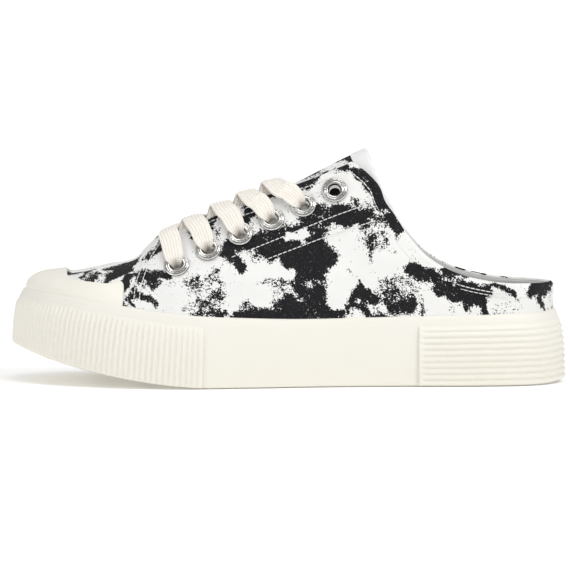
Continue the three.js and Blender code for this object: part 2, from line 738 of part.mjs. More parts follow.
// Two strands that cross over the tongue and dive under the opposite flap, the outer one on top
function laceCross(k) {
  const strand = (place, side, lift) => {
    const { x } = place.point;
    return band([
      ...flapStretch(place, side, LACE_REACH, lift),
      overTongue(x + 1.4 * LACE_REACH, 0, LACE_BOW + lift),
      overTongue(x + 1.7 * LACE_REACH, -side * 0.75, 0.25 * LACE_BOW),
    ]);
  };
  return strand(eyeletRows.outer[k], OUTER, 1).add(strand(eyeletRows.inner[k], INNER, 0));
}

// Scene graph

const shoe = new THREE.Group();
function addPiece(name, body, colour, roughness, metalness = 0) {
  const mesh = body.getMesh();
  const geometry = new THREE.BufferGeometry();
  geometry.setAttribute("position", new THREE.BufferAttribute(new Float32Array(mesh.vertProperties), 3));
  geometry.setIndex(new THREE.BufferAttribute(new Uint32Array(mesh.triVerts), 1));
  geometry.computeVertexNormals();
  const material = new THREE.MeshStandardMaterial({ color: colour, roughness, metalness });
  const piece = new THREE.Mesh(geometry, material);
  piece.name = name;
  shoe.add(piece);
}

addPiece("outsole", outsole(), COLOURS.rubber, 0.6);
addPiece("foxing", foxing(), COLOURS.rubber, 0.5);
addPiece("toe_strip", toeStrip(), COLOURS.rubber, 0.55);
addPiece("heel_strip", heelStrip(), COLOURS.rubber, 0.55);
addPiece("toe_cap", toeCap(), COLOURS.rubber, 0.5);
addPiece("insole", insole(), COLOURS.lining, 0.9);
addPiece("upper", upper(), COLOURS.canvas, 0.9);
addPiece("tongue", tongue(), COLOURS.canvas, 0.9);
for (const [row, places] of Object.entries(eyeletRows)) {
  places.forEach((place, k) => addPiece(`eyelet_${row}_${k + 1}`, eyelet(place), COLOURS.metal, 0.25, 1));
}
addPiece("lace_bar_1", laceBar(), COLOURS.lace, 0.9);
for (let k = 1; k < EYELETS - 1; k += 1) addPiece(`lace_cross_${k + 1}`, laceCross(k), COLOURS.lace, 0.9);

export default shoe;
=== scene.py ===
"""Looks of the canvas sneaker mule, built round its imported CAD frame.

Sizes are in millimetres up to make_piece().
"""

import math

import bpy
import numpy as np
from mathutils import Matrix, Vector


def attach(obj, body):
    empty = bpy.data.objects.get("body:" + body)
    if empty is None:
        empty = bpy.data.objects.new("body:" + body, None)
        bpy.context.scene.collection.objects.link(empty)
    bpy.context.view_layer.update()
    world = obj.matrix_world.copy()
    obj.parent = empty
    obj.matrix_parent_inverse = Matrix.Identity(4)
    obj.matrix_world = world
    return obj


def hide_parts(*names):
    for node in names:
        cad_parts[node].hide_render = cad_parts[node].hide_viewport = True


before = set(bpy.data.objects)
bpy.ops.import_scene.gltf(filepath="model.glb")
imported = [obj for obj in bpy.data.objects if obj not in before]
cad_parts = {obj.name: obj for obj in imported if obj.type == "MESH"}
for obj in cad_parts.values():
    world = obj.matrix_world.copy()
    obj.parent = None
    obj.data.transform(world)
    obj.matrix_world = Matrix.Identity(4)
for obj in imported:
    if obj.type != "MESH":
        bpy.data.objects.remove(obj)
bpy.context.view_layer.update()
RNG = np.random.default_rng(7)

# Sizes of the shoe, the same as the part's own
LENGTH, BALL_WIDTH, HEEL_WIDTH = 270.0, 100.0, 69.0
SIDE_HEIGHT, INSTEP_HEIGHT = 34.0, 106.0
TOE_SPRING, HEEL_ROLL = 18.0, 1.5
GAP, CANVAS, QUARTER_STEP = 0.3, 2.0, 0.7
STRIP, RIB, FOXING_LIFT, FOXING_ROUND, FOXING_DEPTH = 0.9, 0.5, 0.5, 2.6, 3.8
STRIP_TOP, TOE_STRIP_END, HEEL_STRIP_END = 0.86, 94.5, 72.6
TOE_RIB_PITCH, HEEL_RIBS = 2.8, 10
OUTSOLE_HEIGHT = 21.0
UPPER_INSET = STRIP + GAP + FOXING_DEPTH + GAP
CAP_THICKNESS, TONGUE_THICKNESS, TONGUE_DROP = 1.5, 3.5, 3.4
TONGUE_END, THROAT_START = 172.0, 70.0
EYELETS, EYELET_FIRST, EYELET_PITCH, EYELET_DROP, EYELET_RISE = 6, 82.0, 15.1, 14.8, 1.05
BORE_RADIUS = 2.9
LACE_WIDTH, LACE_THICKNESS = 9.6, 1.5
LEAN, SPRING_START, SPRING_CURVE, ROLL_START = 0.55, 0.63, 1.7, 0.07
HEEL_POLE, TOE_POLE = 0.13, 0.915
BAND_WIDTH = 4.5

# Sizes of the looks alone
EYELET_CLEAR = BORE_RADIUS + 0.45
TONGUE_RISE = 2.4
LACE_BAND, LACE_RIBS = 10.2, 7
ROWS, SOLVER_STEPS, TURN_SAMPLES = 62, 40, 4001
VAMP_INSIDE, LINING_OUT = -1.2, -1.35
VIEW_SLOPE, VIEW_SIDE = 0.0654, 45  # the side view looks down a little, onto this distance from the middle

# Plan of the sole: place along the length, half width to the outer and the inner side
HEEL_HALF = HEEL_WIDTH / 2
PLAN = [
    (0.03, 0.64 * HEEL_HALF, 0.52 * HEEL_HALF), (0.08, 0.9 * HEEL_HALF, 0.78 * HEEL_HALF),
    (0.18, 1.04 * HEEL_HALF, 0.93 * HEEL_HALF), (0.3, 1.06 * HEEL_HALF, 0.94 * HEEL_HALF),
    (0.42, 39, 32), (0.55, 45.5, 37), (0.66, 50, 46), (0.74, 48.5, 50), (0.83, 41.5, 49), (0.91, 29, 43),
    (0.965, 13, 32),
]
HEEL_TIP_Y, TOE_TIP_Y = 0.06 * HEEL_HALF, -12
BAND_TOP = [
    (0, 1.035), (0.3, 0.99), (0.48, 0.968), (0.67, 1.02), (0.8, 1.01), (0.89, 0.96), (0.96, 0.87), (1, 0.8),
]
BAND_SIDE = [(0, 0.3), (0.5, 0), (0.86, 0.4), (1, 1)]
BAND_TOE = [(0, 0.45), (0.5, 0), (0.86, 0.1), (1, 0.7)]
# Upper's cross-sections: place, ridge, across, crown, crownUp, bulge, sideUp
SECTIONS = np.array([
    (0.13, 1.18, 0.04, 0.36, 0.85, 0.9, 0.4),
    (0.2, 1.18, 0.03, 0.38, 0.92, 0.8, 0.4),
    (0.315, 1.13, 0.01, 0.38, 1.0, 0.6, 0.45),
    (0.385, 1.065, 0, 0.38, 1.06, 0.5, 0.5),
    (0.45, 0.995, 0, 0.38, 1.06, 0.46, 0.5),
    (0.515, 0.92, -0.01, 0.4, 1.07, 0.43, 0.5),
    (0.575, 0.85, -0.02, 0.42, 1.09, 0.4, 0.48),
    (0.645, 0.765, -0.04, 0.44, 1.12, 0.36, 0.44),
    (0.722, 0.66, -0.06, 0.46, 1.14, 0.38, 0.42),
    (0.767, 0.558, -0.08, 0.46, 1.04, 0.62, 0.48),
    (0.807, 0.535, -0.1, 0.48, 1.0, 0.88, 0.55),
    (0.852, 0.507, -0.14, 0.48, 1.0, 1.0, 0.55),
    (0.915, 0.488, -0.18, 0.36, 1.0, 1.0, 0.55),
])
RIDGE, ACROSS, CROWN, CROWN_UP, BULGE, SIDE_UP = range(1, 7)
# Edges in side view: place along the length, height
TOPLINE = [
    (0.384, 1.0), (0.36, 0.953), (0.34, 0.896), (0.33, 0.83), (0.313, 0.77), (0.291, 0.684),
    (0.254, 0.58), (0.209, 0.512), (0.16, 0.475), (0.1, 0.455), (0, 0.455),
]
THROAT = [(0.32, 0.24), (0.385, 0.24), (0.5, 0.28), (0.6, 0.32), (0.7, 0.35)]
QUARTER_EDGE = [(0.74, 2.1), (0.766, 1.74), (0.777, 1.45), (0.783, 0.9)]
CAP_EDGE = [
    (0.897, 1.9), (0.895, 1.56), (0.874, 1.5), (0.845, 1.475), (0.82, 1.465), (0.791, 1.46), (0.797, 0.9),
]

# Print on the outer side, placed in the side view: a soft stroke from (x, z) to (x, z), its radius
# and its strength, below zero where it leaves the cloth white
PRINT_OUTER = [
    (86.4, 53.9, 73.8, 58.3, 1.9, 1), (81.6, 58.3, 72.8, 61.2, 1.7, 0.9),
    (104.9, 55.8, 88.4, 57.3, 0.9, 0.8), (99.1, 53.9, 92.7, 55.8, 1.1, 0.8),
    (74.8, 53.9, 77.7, 48.6, 1.3, 1.1), (75.6, 53, 77.2, 39.3, 1.5, 1.2), (76.2, 50, 75.3, 40.8, 1.2, 0.45),
    (71.4, 53.9, 69.4, 50.5, 1.5, 0.9), (68, 53.4, 60.2, 52, 2, 0.8), (64.6, 50, 61.7, 46.6, 1.7, 0.7),
    (71.4, 47.1, 72.4, 40.3, 1.1, 0.9), (69.4, 47.1, 69.9, 42.7, 1, 0.9), (68, 43.7, 63.6, 38.4, 1.6, 0.9),
    (67, 63.1, 60.7, 69, 2.2, 0.8), (48.6, 52.4, 35.9, 52.9, 2.9, 0.5), (44.7, 47.6, 37.9, 45.6, 3.9, 0.46),
    (43.7, 40.3, 36.9, 36.9, 3.4, 0.52), (44.7, 35, 30.1, 35, 1.7, 0.9), (28.2, 67, 1, 71.9, 4.4, 1.1),
    (25.3, 61.2, 21.4, 59.2, 2.2, 1), (12.6, 69, 1.5, 73.8, 5.8, 1.1), (-3.9, 78.7, -9.7, 80.6, 2.4, 0.5),
    (-8.7, 84.5, -27.7, 87.4, 3.4, 0.95), (-5.8, 79.6, -20.4, 83.5, 4.4, 0.6),
    (-1, 61.2, -20.4, 63.1, 4.9, 1.15), (7.8, 65.1, -1, 68, 3.9, 1), (-5.8, 56.3, -19.4, 56.3, 5.8, 1.1),
    (2.9, 42.7, -16.5, 42.7, 7.8, 1.15), (-5.8, 47.6, -18.5, 46.6, 5.8, 1.1),
    (23.3, 34.5, -27.7, 34.5, 2.4, 1.1), (20.4, 40.8, 12.6, 37.9, 2.9, 0.85),
    (13.6, 52, 1, 54.9, 2.4, 0.55), (-26.2, 83.5, -37.9, 84.5, 3.9, 1),
    (-27.7, 80.6, -35.9, 77.7, 2.9, 0.95), (-7.8, 73.8, -21.4, 75.8, 2.9, 0.6),
    (-11.7, 67, -23.3, 66, 4.4, 1.05), (-14.6, 61.2, -22.3, 57.3, 3.9, 1),
    (-13.6, 50, -18.5, 37.9, 4.9, 1.1), (-33, 71.9, -34.2, 64.1, 0.9, 0.75),
    (-37.9, 71.9, -39.6, 60.7, 1.1, 0.55), (-35, 77.7, -48.6, 80.6, 4.9, 0.5),
    (-36.9, 71.9, -47.6, 70.9, 2.9, 0.5), (-27.4, 55.8, -33.7, 44.2, 1.1, 1.2),
    (-38, 47, -29, 37.5, 1.3, 1.1), (-32, 43.7, -38.8, 42.7, 2.7, 1), (-30.1, 36.4, -42.7, 35.9, 2.2, 0.85),
    (-44.7, 50.5, -59.2, 52.9, 2.9, 0.56), (-45.6, 47.6, -53.4, 46.6, 3.9, 0.56),
    (-47.6, 40.8, -57.3, 39.8, 3.9, 0.85), (-61.2, 58.3, -70.9, 53.4, 1.9, 1.1),
    (-67, 53.4, -76.7, 49, 3.4, 1.05), (-74.8, 48.1, -93.2, 44.7, 3.6, 1.1),
    (-79.6, 44.7, -91.3, 43.7, 3.4, 1.05), (-84, 42.7, -82.1, 37.4, 1.2, 0.95),
    (-92.3, 43.7, -92.3, 36.9, 1.7, 1), (-65.1, 41.3, -64.6, 35.9, 0.8, 0.6),
    (-49.5, 82.6, -55.4, 74.8, 2.2, 0.95), (-61.2, 72.8, -62.2, 72.4, 0.7, 0.9),
    (-74.8, 55.4, -81.6, 53.9, 1.7, 1), (-82.6, 49.5, -106.8, 47.6, 1.6, 0.9),
    (-116.5, 48.6, -127.2, 49.5, 3.2, 1.1), (-116.5, 45.6, -128.7, 45.2, 1.6, 1.1),
    (-118.5, 44.2, -125.8, 38.8, 0.7, 0.8), (-128.7, 47.1, -128.9, 38.4, 0.5, 0.4),
    (-22.3, 105.4, -33.5, 103, 2.5, 0.95), (-33.5, 103, -41.6, 96.6, 2.6, 0.95),
    (-41.6, 96.6, -45.2, 87.4, 2.3, 0.95), (6, 73, -10, 77.5, 3, 0.7), (-12, 78.5, -34, 83.5, 3, 0.85),
    (17.5, 70.5, -6.3, 76.7, 3.6, 0.75), (-4.9, 74.3, -19, 78.2, 4.2, 0.9),
    (-16, 83.5, -39.5, 88, 3.4, 0.58), (-5.3, 98.1, -14.6, 102.5, 1.9, 0.95),
    (-29.6, 92.3, -33, 87.4, 1.5, 0.7), (-25.3, 90.3, -28.2, 88.4, 1.3, 0.55),
    (9.7, 89.8, 0.5, 94.7, 1.7, 1), (22.8, 83, 17, 86.4, 1.6, 1), (38.8, 76.2, 31.6, 80.1, 1.6, 1),
    (45.6, 73.3, 40.3, 77.2, 1.5, 0.95), (0.5, 71.9, -7.3, 73.8, 2.9, -1),
    (-8.7, 50.5, -9.7, 50, 2.2, -0.9), (1.9, 46.1, 1, 45.2, 2.4, -0.9), (15.5, 43.7, 6.8, 44.7, 3.9, -0.95),
    (-2.4, 42.2, -3.9, 41.8, 1.7, -0.8), (20.4, 55.4, 1.9, 56.8, 2.7, -1),
    (-23.3, 42.7, -26.2, 52.4, 4.9, -1), (-22.3, 73.8, -31.1, 67, 4.4, -0.9),
    (-27.2, 61.2, -30.1, 57.3, 4.4, -0.9), (-14.6, 52.9, -17.5, 51.5, 1.2, -0.5),
]
# Print on the inner side: the same strokes turned end for end
PRINT_INNER = [
    (-0.95 * x1 - 12, z1, -0.95 * x2 - 12, z2, 1.05 * radius, strength)
    for x1, z1, x2, z2, radius, strength in PRINT_OUTER
]
# Print on the tongue, the same way
PRINT_TONGUE = [
    (-22, 108.5, -31, 111.5, 3.4, 1), (-5, 101, -21, 107, 1.3, 1), (-34.5, 105.5, -35, 105, 1.2, 1),
    (-41, 102.5, -41.5, 101, 1.6, 0.9), (12, 92, 4, 97, 3, 0.9), (30, 82, 20, 88, 3, 0.8),
    (58, 66, 50, 71, 3, 0.9), (-16, 92, -28, 94, 6, 1.1),
]


# Numbers

def mix(a, b, t):
    return a + (b - a) * t


def along(share):
    return (share - 0.5) * LENGTH


def share_of(x):
    return x / LENGTH + 0.5


def smooth(value, low, high):
    t = np.clip((value - low) / (high - low), 0, 1)
    return t * t * (3 - 2 * t)


def read(rows, at):
    """A table read at a place between its rows, along a smooth curve."""
    xs, ys = np.array(rows, float).T
    last = len(xs) - 1
    k = np.arange(last + 1)
    a, b = np.maximum(k - 1, 0), np.minimum(k + 1, last)
    slope = (ys[b] - ys[a]) / (xs[b] - xs[a])
    at = np.clip(np.asarray(at, float), xs[0], xs[-1])
    i = np.clip(np.searchsorted(xs, at, side="right") - 1, 0, last - 1)
    span = xs[i + 1] - xs[i]
    t = (at - xs[i]) / span
    t2, t3 = t * t, t * t * t
    return (
        ys[i] * (2 * t3 - 3 * t2 + 1)
        + slope[i] * span * (t3 - 2 * t2 + t)
        + ys[i + 1] * (3 * t2 - 2 * t3)
        + slope[i + 1] * span * (t3 - t2)
    )


def section(column, at):
    return read(SECTIONS[:, [0, column]], at)


def unit(v):
    return v / np.maximum(np.linalg.norm(v, axis=-1, keepdims=True), 1e-9)


# Sole

PLAN_POINTS = np.array(
    [(along(0), HEEL_TIP_Y)]
    + [(along(at), outer) for at, outer, _ in PLAN]
    + [(along(1), TOE_TIP_Y)]
    + [(along(at), -inner) for at, _, inner in reversed(PLAN)]
)
OUTER, INNER = 1, -1
TOE_TURN = (len(PLAN) + 1) / len(PLAN_POINTS)


def plan(turn):
    """The sole's outline, a closed smooth curve through its points."""
    n = len(PLAN_POINTS)
    p = (np.asarray(turn, float) % 1) * n
    i = np.floor(p).astype(int)
    w = (p - i)[..., None]
    p0, p1, p2, p3 = (PLAN_POINTS[(i + k) % n] for k in (-1, 0, 1, 2))
    pairs = ((p0, p1), (p1, p2), (p2, p3))
    d0, d1, d2 = (np.sqrt(np.linalg.norm(b - a, axis=-1))[..., None] for a, b in pairs)
    t1 = ((p1 - p0) / d0 - (p2 - p0) / (d0 + d1) + (p2 - p1) / d1) * d1
    t2 = ((p2 - p1) / d1 - (p3 - p1) / (d1 + d2) + (p3 - p2) / d2) * d1
    return p1 + t1 * w + (3 * p2 - 3 * p1 - 2 * t1 - t2) * w**2 + (2 * p1 - 2 * p2 + t1 + t2) * w**3


def plan_tangent(turn):
    return unit(plan(turn + 1e-4) - plan(turn - 1e-4))


TURNS = {side: np.linspace(start, TOE_TURN, TURN_SAMPLES) for side, start in ((OUTER, 0), (INNER, 1))}
TURN_X = {side: plan(np.clip(turns, 0, 1 - 1e-9))[:, 0] for side, turns in TURNS.items()}


def turn_at(x, side):
    return np.interp(x, TURN_X[side], TURNS[side])


def floor_at(x):
    toe = np.maximum(0, (x - along(SPRING_START)) / (along(1) - along(SPRING_START)))
    heel = np.maximum(0, (along(ROLL_START) - x) / (along(ROLL_START) - along(0)))
    return TOE_SPRING * toe**SPRING_CURVE + HEEL_ROLL * heel**2


def slope_at(x):
    return floor_at(x + 0.5) - floor_at(x - 0.5)


def band_top(x):
    return SIDE_HEIGHT * read(BAND_TOP, share_of(x))


def sole_point(turn, height, inset):
    """Inset from the outline, a height above the bottom, leaning back with the toe spring."""
    edge, tangent = plan(turn), plan_tangent(turn)
    x = edge[..., 0] + tangent[..., 1] * inset
    y = edge[..., 1] - tangent[..., 0] * inset
    up = height(x) if callable(height) else height
    x, y, up = np.broadcast_arrays(x, y, up)
    return np.stack([x - LEAN * slope_at(x) * up, y, floor_at(x) + up], -1)


def foxing_inset(x, up):
    toe = smooth(x, along(0.7), along(1))
    return STRIP + GAP + FOXING_ROUND * mix(read(BAND_SIDE, up), read(BAND_TOE, up), toe)


def run_along(points):
    """How far each point lies along the line through them."""
    return np.concatenate([[0], np.cumsum(np.linalg.norm(np.diff(points, axis=0), axis=1))])


def even_turns(count, start=0.0, end=1.0):
    """Turns at even distances along the outline, and its length."""
    fine = np.linspace(start, end, 6001)
    run = run_along(plan(fine))
    return np.interp(np.linspace(0, run[-1], count), run, fine), run[-1]


def round_turns(count):
    """Turns at even distances once round the sole."""
    return even_turns(count + 1)[0][:-1]


def rounding(radius, distance):
    """Inset of a rounded edge at a distance from it."""
    return radius - np.sqrt(np.maximum(radius**2 - np.maximum(radius - distance, 0) ** 2, 0))


# Upper

def ridge_share(x):
    return mix(HEEL_POLE, TOE_POLE, share_of(x))


def form_point(x, turn, t, out, lift=None):
    """A point of the upper's form: t runs from the foxing's top edge (0) to the ridge (1)."""
    lift = out if lift is None else lift
    x, turn, t, out, lift = np.broadcast_arrays(x, turn, t, out, lift)
    base = sole_point(turn, band_top, UPPER_INSET - out)
    at = ridge_share(x)
    ridge_y, ridge_z = section(ACROSS, at) * BALL_WIDTH / 2, section(RIDGE, at) * INSTEP_HEIGHT + lift
    ridge = np.stack([along(at), ridge_y, ridge_z], -1)
    reach = np.hypot(base[..., 0] - ridge[..., 0], base[..., 1] - ridge[..., 1])
    crown = np.minimum(section(CROWN, at) * BALL_WIDTH / 2 / reach, 0.6)
    side = mix(crown, 1, section(BULGE, at))
    s = 1 - t
    w0, w1, w2, w3 = s**3, 3 * s * s * t, 3 * s * t * t, t**3
    share = w0 + w1 * side + w2 * crown
    up = w1 * section(SIDE_UP, at) + w2 * section(CROWN_UP, at) + w3
    return np.stack([
        mix(ridge[..., 0], base[..., 0], share),
        mix(ridge[..., 1], base[..., 1], share),
        mix(base[..., 2], ridge[..., 2], up),
    ], -1)


def on_form(x, other, side, out, axis=1):
    """Points of the form at a given x and y, or x and z with axis 2, and their outward directions."""
    x, other, side, out = np.broadcast_arrays(*(np.asarray(v, float) for v in (x, other, side, out)))
    u, t = x.copy(), np.full(x.shape, 0.6)

    def point(pu, pt):
        turn = np.where(side > 0, turn_at(pu, OUTER), turn_at(pu, INNER))
        return form_point(pu, turn, pt, out)

    for _ in range(SOLVER_STEPS):
        here = point(u, t)
        du = (point(u + 0.5, t) - here) / 0.5
        dt = (point(u, t + 1e-3) - here) / 1e-3
        ex, eo = x - here[..., 0], other - here[..., axis]
        det = du[..., 0] * dt[..., axis] - du[..., axis] * dt[..., 0]
        det = np.where(np.abs(det) < 1e-6, 1e-6, det)
        su = (ex * dt[..., axis] - eo * dt[..., 0]) / det
        st = (eo * du[..., 0] - ex * du[..., axis]) / det
        u = np.clip(u + np.clip(su, -6, 6), -LENGTH / 2 + 0.1, LENGTH / 2 - 0.1)
        t = np.clip(t + np.clip(st, -0.12, 0.12), 0.0, 1.0)
    here = point(u, t)
    forward = point(u + 1, t) - here
    upward = point(u, np.minimum(t + 0.01, 1)) - point(u, np.minimum(t, 0.99))
    normal = unit(np.cross(forward, upward)) * side[..., None]
    return here, np.where(normal[..., 2:] < -0.3, -normal, normal)


def spot_on_form(x, other, side, out, axis=1):
    """One point of the form and its outward direction."""
    point, normal = on_form([x], [other], [side], out, axis)
    return point[0], normal[0]


def throat_half(x):
    return read(THROAT, share_of(x)) * BALL_WIDTH / 2


def throat_middle(x):
    return section(ACROSS, share_of(x)) * BALL_WIDTH / 2


# Sheets: two faces of one grid, cut along smooth edges and closed round them

def spline(points, count):
    """A smooth line through points."""
    points = np.asarray(points, float)
    n = len(points)
    p = np.linspace(0, n - 1, count)
    i = np.minimum(p.astype(int), n - 2)
    w = (p - i)[:, None]
    p0, p1, p2, p3 = (points[np.clip(i + k, 0, n - 1)] for k in (-1, 0, 1, 2))
    v0, v1 = (p2 - p0) / 2, (p3 - p1) / 2
    return (2 * p1 - 2 * p2 + v0 + v1) * w**3 + (3 * p2 - 3 * p1 - 2 * v0 - v1) * w**2 + v0 * w + p1


def left_of(x, z, line):
    """Distance of side-view points from a line of points, above zero on its left."""
    p = np.stack([x, z], -1)
    best, sign = np.full(len(p), 1e9), np.ones(len(p))
    for start, end in zip(line[:-1], line[1:]):
        d = end - start
        t = np.clip(((p - start) @ d) / (d @ d), 0, 1)
        gap = p - (start + t[:, None] * d)
        far = np.hypot(gap[:, 0], gap[:, 1])
        cross = d[0] * (p[:, 1] - start[1]) - d[1] * (p[:, 0] - start[0])
        nearer = far < best - 1e-9
        best = np.where(nearer, far, best)
        sign = np.where(nearer, np.sign(cross), sign)
    return best * np.where(sign == 0, 1, sign)


def edge_line(rows, size, before, after, count=40):
    """A smooth side-view line with a straight stretch before and after it."""
    line = spline([(along(at), height * size) for at, height in rows], count)
    return np.concatenate([line[:1] + before, line, line[-1:] + after])


TOP_EDGE = edge_line(TOPLINE, INSTEP_HEIGHT, (0, 100), (-60, 0), 60)
QUARTER_LINE = edge_line(QUARTER_EDGE, SIDE_HEIGHT, (-4, 100), (2, -60))
CAP_LINE = edge_line(CAP_EDGE, SIDE_HEIGHT, (0, 60), (2, -60), 60)


def in_side(line, keep=1, margin=0.0):
    """Keeps the sheet on one side of a side-view line."""
    return lambda s: keep * left_of(s["outer"][:, 0], s["outer"][:, 2], line) - margin


def outside_throat(extra=0.0):
    def field(s):
        x, y = s["outer"][:, 0], s["outer"][:, 1]
        start = along(1) - THROAT_START
        front = start - throat_half(start - 16)
        half = throat_half(np.minimum(x, front))
        aside = np.abs(y - throat_middle(x))
        inside = np.where(x > front, np.hypot(x - front, aside), aside) - half - extra
        return np.maximum(inside, along(THROAT[0][0]) - 4 - x)
    return field


def edges_of(tris):
    return np.concatenate([tris[:, [0, 1]], tris[:, [1, 2]], tris[:, [2, 0]]])


def clip(sheet, *fields):
    """Keeps what lies where every field is above zero."""
    for field in fields:
        sheet = cut(sheet, field(sheet).astype(float).copy())
    return sheet


def cut(sheet, f):
    """Keeps what lies where f, a value for each corner, is above zero, with new corners on its edge."""
    data = {k: v for k, v in sheet.items() if k != "tris"}
    tris = sheet["tris"]
    edges = np.unique(np.sort(edges_of(tris), axis=1), axis=0)
    edges = edges[f[edges[:, 0]] * f[edges[:, 1]] < 0]
    s = f[edges[:, 0]] / (f[edges[:, 0]] - f[edges[:, 1]])
    corner = np.concatenate([edges[:, 0], edges[:, 1]])
    other = np.concatenate([edges[:, 1], edges[:, 0]])
    part = np.concatenate([s, 1 - s])
    order = np.argsort(-part)
    near, to = np.ones(len(f)), np.arange(len(f))
    near[corner[order]], to[corner[order]] = part[order], other[order]
    moved = near < 0.3
    data = {k: np.where(moved[:, None], mix(v, v[to], near[:, None]), v) for k, v in data.items()}
    f[moved] = 0
    signs = f[tris]
    whole = (signs >= 0).all(1) & (signs > 0).any(1)
    crossed = (signs > 0).any(1) & (signs < 0).any(1)
    made, new = {}, []
    for tri in tris[crossed]:
        ring = []
        for a, b in zip(tri, np.roll(tri, -1)):
            if f[a] >= 0:
                ring.append(a)
            if f[a] * f[b] < 0:
                ring.append(made.setdefault((min(a, b), max(a, b)), len(f) + len(made)))
        new += [(ring[0], ring[k], ring[k + 1]) for k in range(1, len(ring) - 1)]
    if made:
        a, b = np.array(list(made)).T
        t = (f[a] / (f[a] - f[b]))[:, None]
        data = {k: np.concatenate([v, mix(v[a], v[b], t)]) for k, v in data.items()}
    tris = np.concatenate([tris[whole], np.array(new, int).reshape(-1, 3)])
    used, back = np.unique(tris, return_inverse=True)
    return {**{k: v[used] for k, v in data.items()}, "tris": back.reshape(-1, 3)}


def open_edges(tris):
    """The sheet's open edges, each running with its triangle, and that triangle's third corner."""
    edges = edges_of(tris)
    third = np.concatenate([tris[:, 2], tris[:, 0], tris[:, 1]])
    size = tris.max() + 1
    key, back = edges[:, 0] * size + edges[:, 1], edges[:, 1] * size + edges[:, 0]
    alone = ~np.isin(key, back)
    return edges[alone], third[alone]


def close(sheet, segments=5, swell=1.0):
    """Closes a sheet's two faces with a round rim.

    Returns the corners, faces, kinds of the faces and data for each corner.
    """
    outer, inner, tris = sheet["outer"], sheet["inner"], sheet["tris"]
    n = len(outer)
    edges, third = open_edges(tris)
    a, b = outer[edges[:, 0]], outer[edges[:, 1]]
    away = unit(np.cross(b - a, np.cross(b - a, outer[third] - a)))
    away *= -np.sign(np.sum(away * (outer[third] - a), axis=1, keepdims=True))
    push = np.zeros((n, 3))
    np.add.at(push, edges[:, 0], away)
    np.add.at(push, edges[:, 1], away)
    rim = np.unique(edges)
    push = unit(push[rim])
    slot_of = np.full(n, -1)
    slot_of[rim] = np.arange(len(rim))
    middle, half = (outer[rim] + inner[rim]) / 2, (outer[rim] - inner[rim]) / 2
    reach = np.linalg.norm(half, axis=1, keepdims=True) * swell
    points, ids = [outer, inner], [rim]
    for k in range(1, segments):
        turn = math.pi * k / segments
        ids.append(2 * n + (k - 1) * len(rim) + np.arange(len(rim)))
        points.append(middle + half * math.cos(turn) + push * reach * math.sin(turn))
    ids.append(rim + n)
    i, j = slot_of[edges[:, 0]], slot_of[edges[:, 1]]
    quads = [np.stack([low[j], low[i], high[i], high[j]], -1) for low, high in zip(ids[:-1], ids[1:])]
    faces = [tris, tris[:, ::-1] + n, np.concatenate(quads)]
    kinds = np.repeat([0, 1, 2], [len(part) for part in faces])
    kinds[-(segments // 2) * len(edges):] = 3  # the half of the rim next to the inner face
    rings = segments - 1
    extra = {
        k: np.concatenate([v, v, np.tile(v[rim], (rings, 1))])
        for k, v in sheet.items() if k not in ("outer", "inner", "tris")
    }
    return np.concatenate(points), faces, kinds, extra


def loop_faces(rings, count, closed):
    """Quads between closed rings of points, ring after ring, with flat ends unless closed."""
    i, j = np.meshgrid(np.arange(rings if closed else rings - 1), np.arange(count), indexing="ij")
    a, b = i * count + j, i * count + (j + 1) % count
    c, d = ((i + 1) % rings) * count + (j + 1) % count, ((i + 1) % rings) * count + j
    faces = [np.stack([a, b, c, d], -1).reshape(-1, 4)]
    if not closed:
        faces.append(np.arange(count)[None, ::-1])
        faces.append(((rings - 1) * count + np.arange(count))[None])
    return faces


def grid_tris(rows, columns):
    """Triangles of a grid that is closed round its columns."""
    quads = loop_faces(rows, columns, closed=False)[0]
    return np.concatenate([quads[:, :3], quads[:, [0, 2, 3]]])


# Soft troughs and ridges of the cloth: from (x, z) to (x, z) in side view, half width, height, side
CREASES = [
    (74, 58, 63, 50, 4, -0.7, 0), (66, 62, 56, 55, 5, 0.5, 0), (60, 52, 44, 44, 5, -0.35, 0),
    (52, 45, 30, 52, 6, 0.35, 1), (34, 56, 12, 60, 5, -0.4, 1), (10, 47, -18, 60, 7, 0.4, 0),
    (-14, 70, -36, 60, 6, -0.45, 0), (-24, 44, -44, 56, 6, 0.4, 0), (-40, 66, -52, 52, 5, -0.45, 0),
    (-56, 50, -74, 42, 5, 0.4, 0), (-84, 46, -104, 41, 4, -0.35, 0), (-110, 44, -124, 40, 4, 0.3, 0),
    (30, 66, 6, 72, 5, -0.35, -1), (-2, 52, -20, 46, 6, -0.4, -1),
]


def stroke_distance(x, z, row):
    x1, z1, x2, z2 = row[:4]
    dx, dz = x2 - x1, z2 - z1
    t = np.clip(((x - x1) * dx + (z - z1) * dz) / max(dx * dx + dz * dz, 1e-6), 0, 1)
    return np.hypot(x - x1 - t * dx, z - z1 - t * dz)


# Two stitched seams across the quarter: points in side view
SEAMS = [
    [(27.2, 61.7), (1.2, 71.7), (-20.4, 80.3), (-39.5, 87.0)],
    [(12.0, 60.2), (3.9, 63.1), (-20.4, 71.9), (-43.0, 79.2)],
]
SEAM_LINES = [spline(points, 14) for points in SEAMS]
HASH = (73856093, 19349663, 83492791, 374761393, 1274126177, 0xFFFFFFFF)


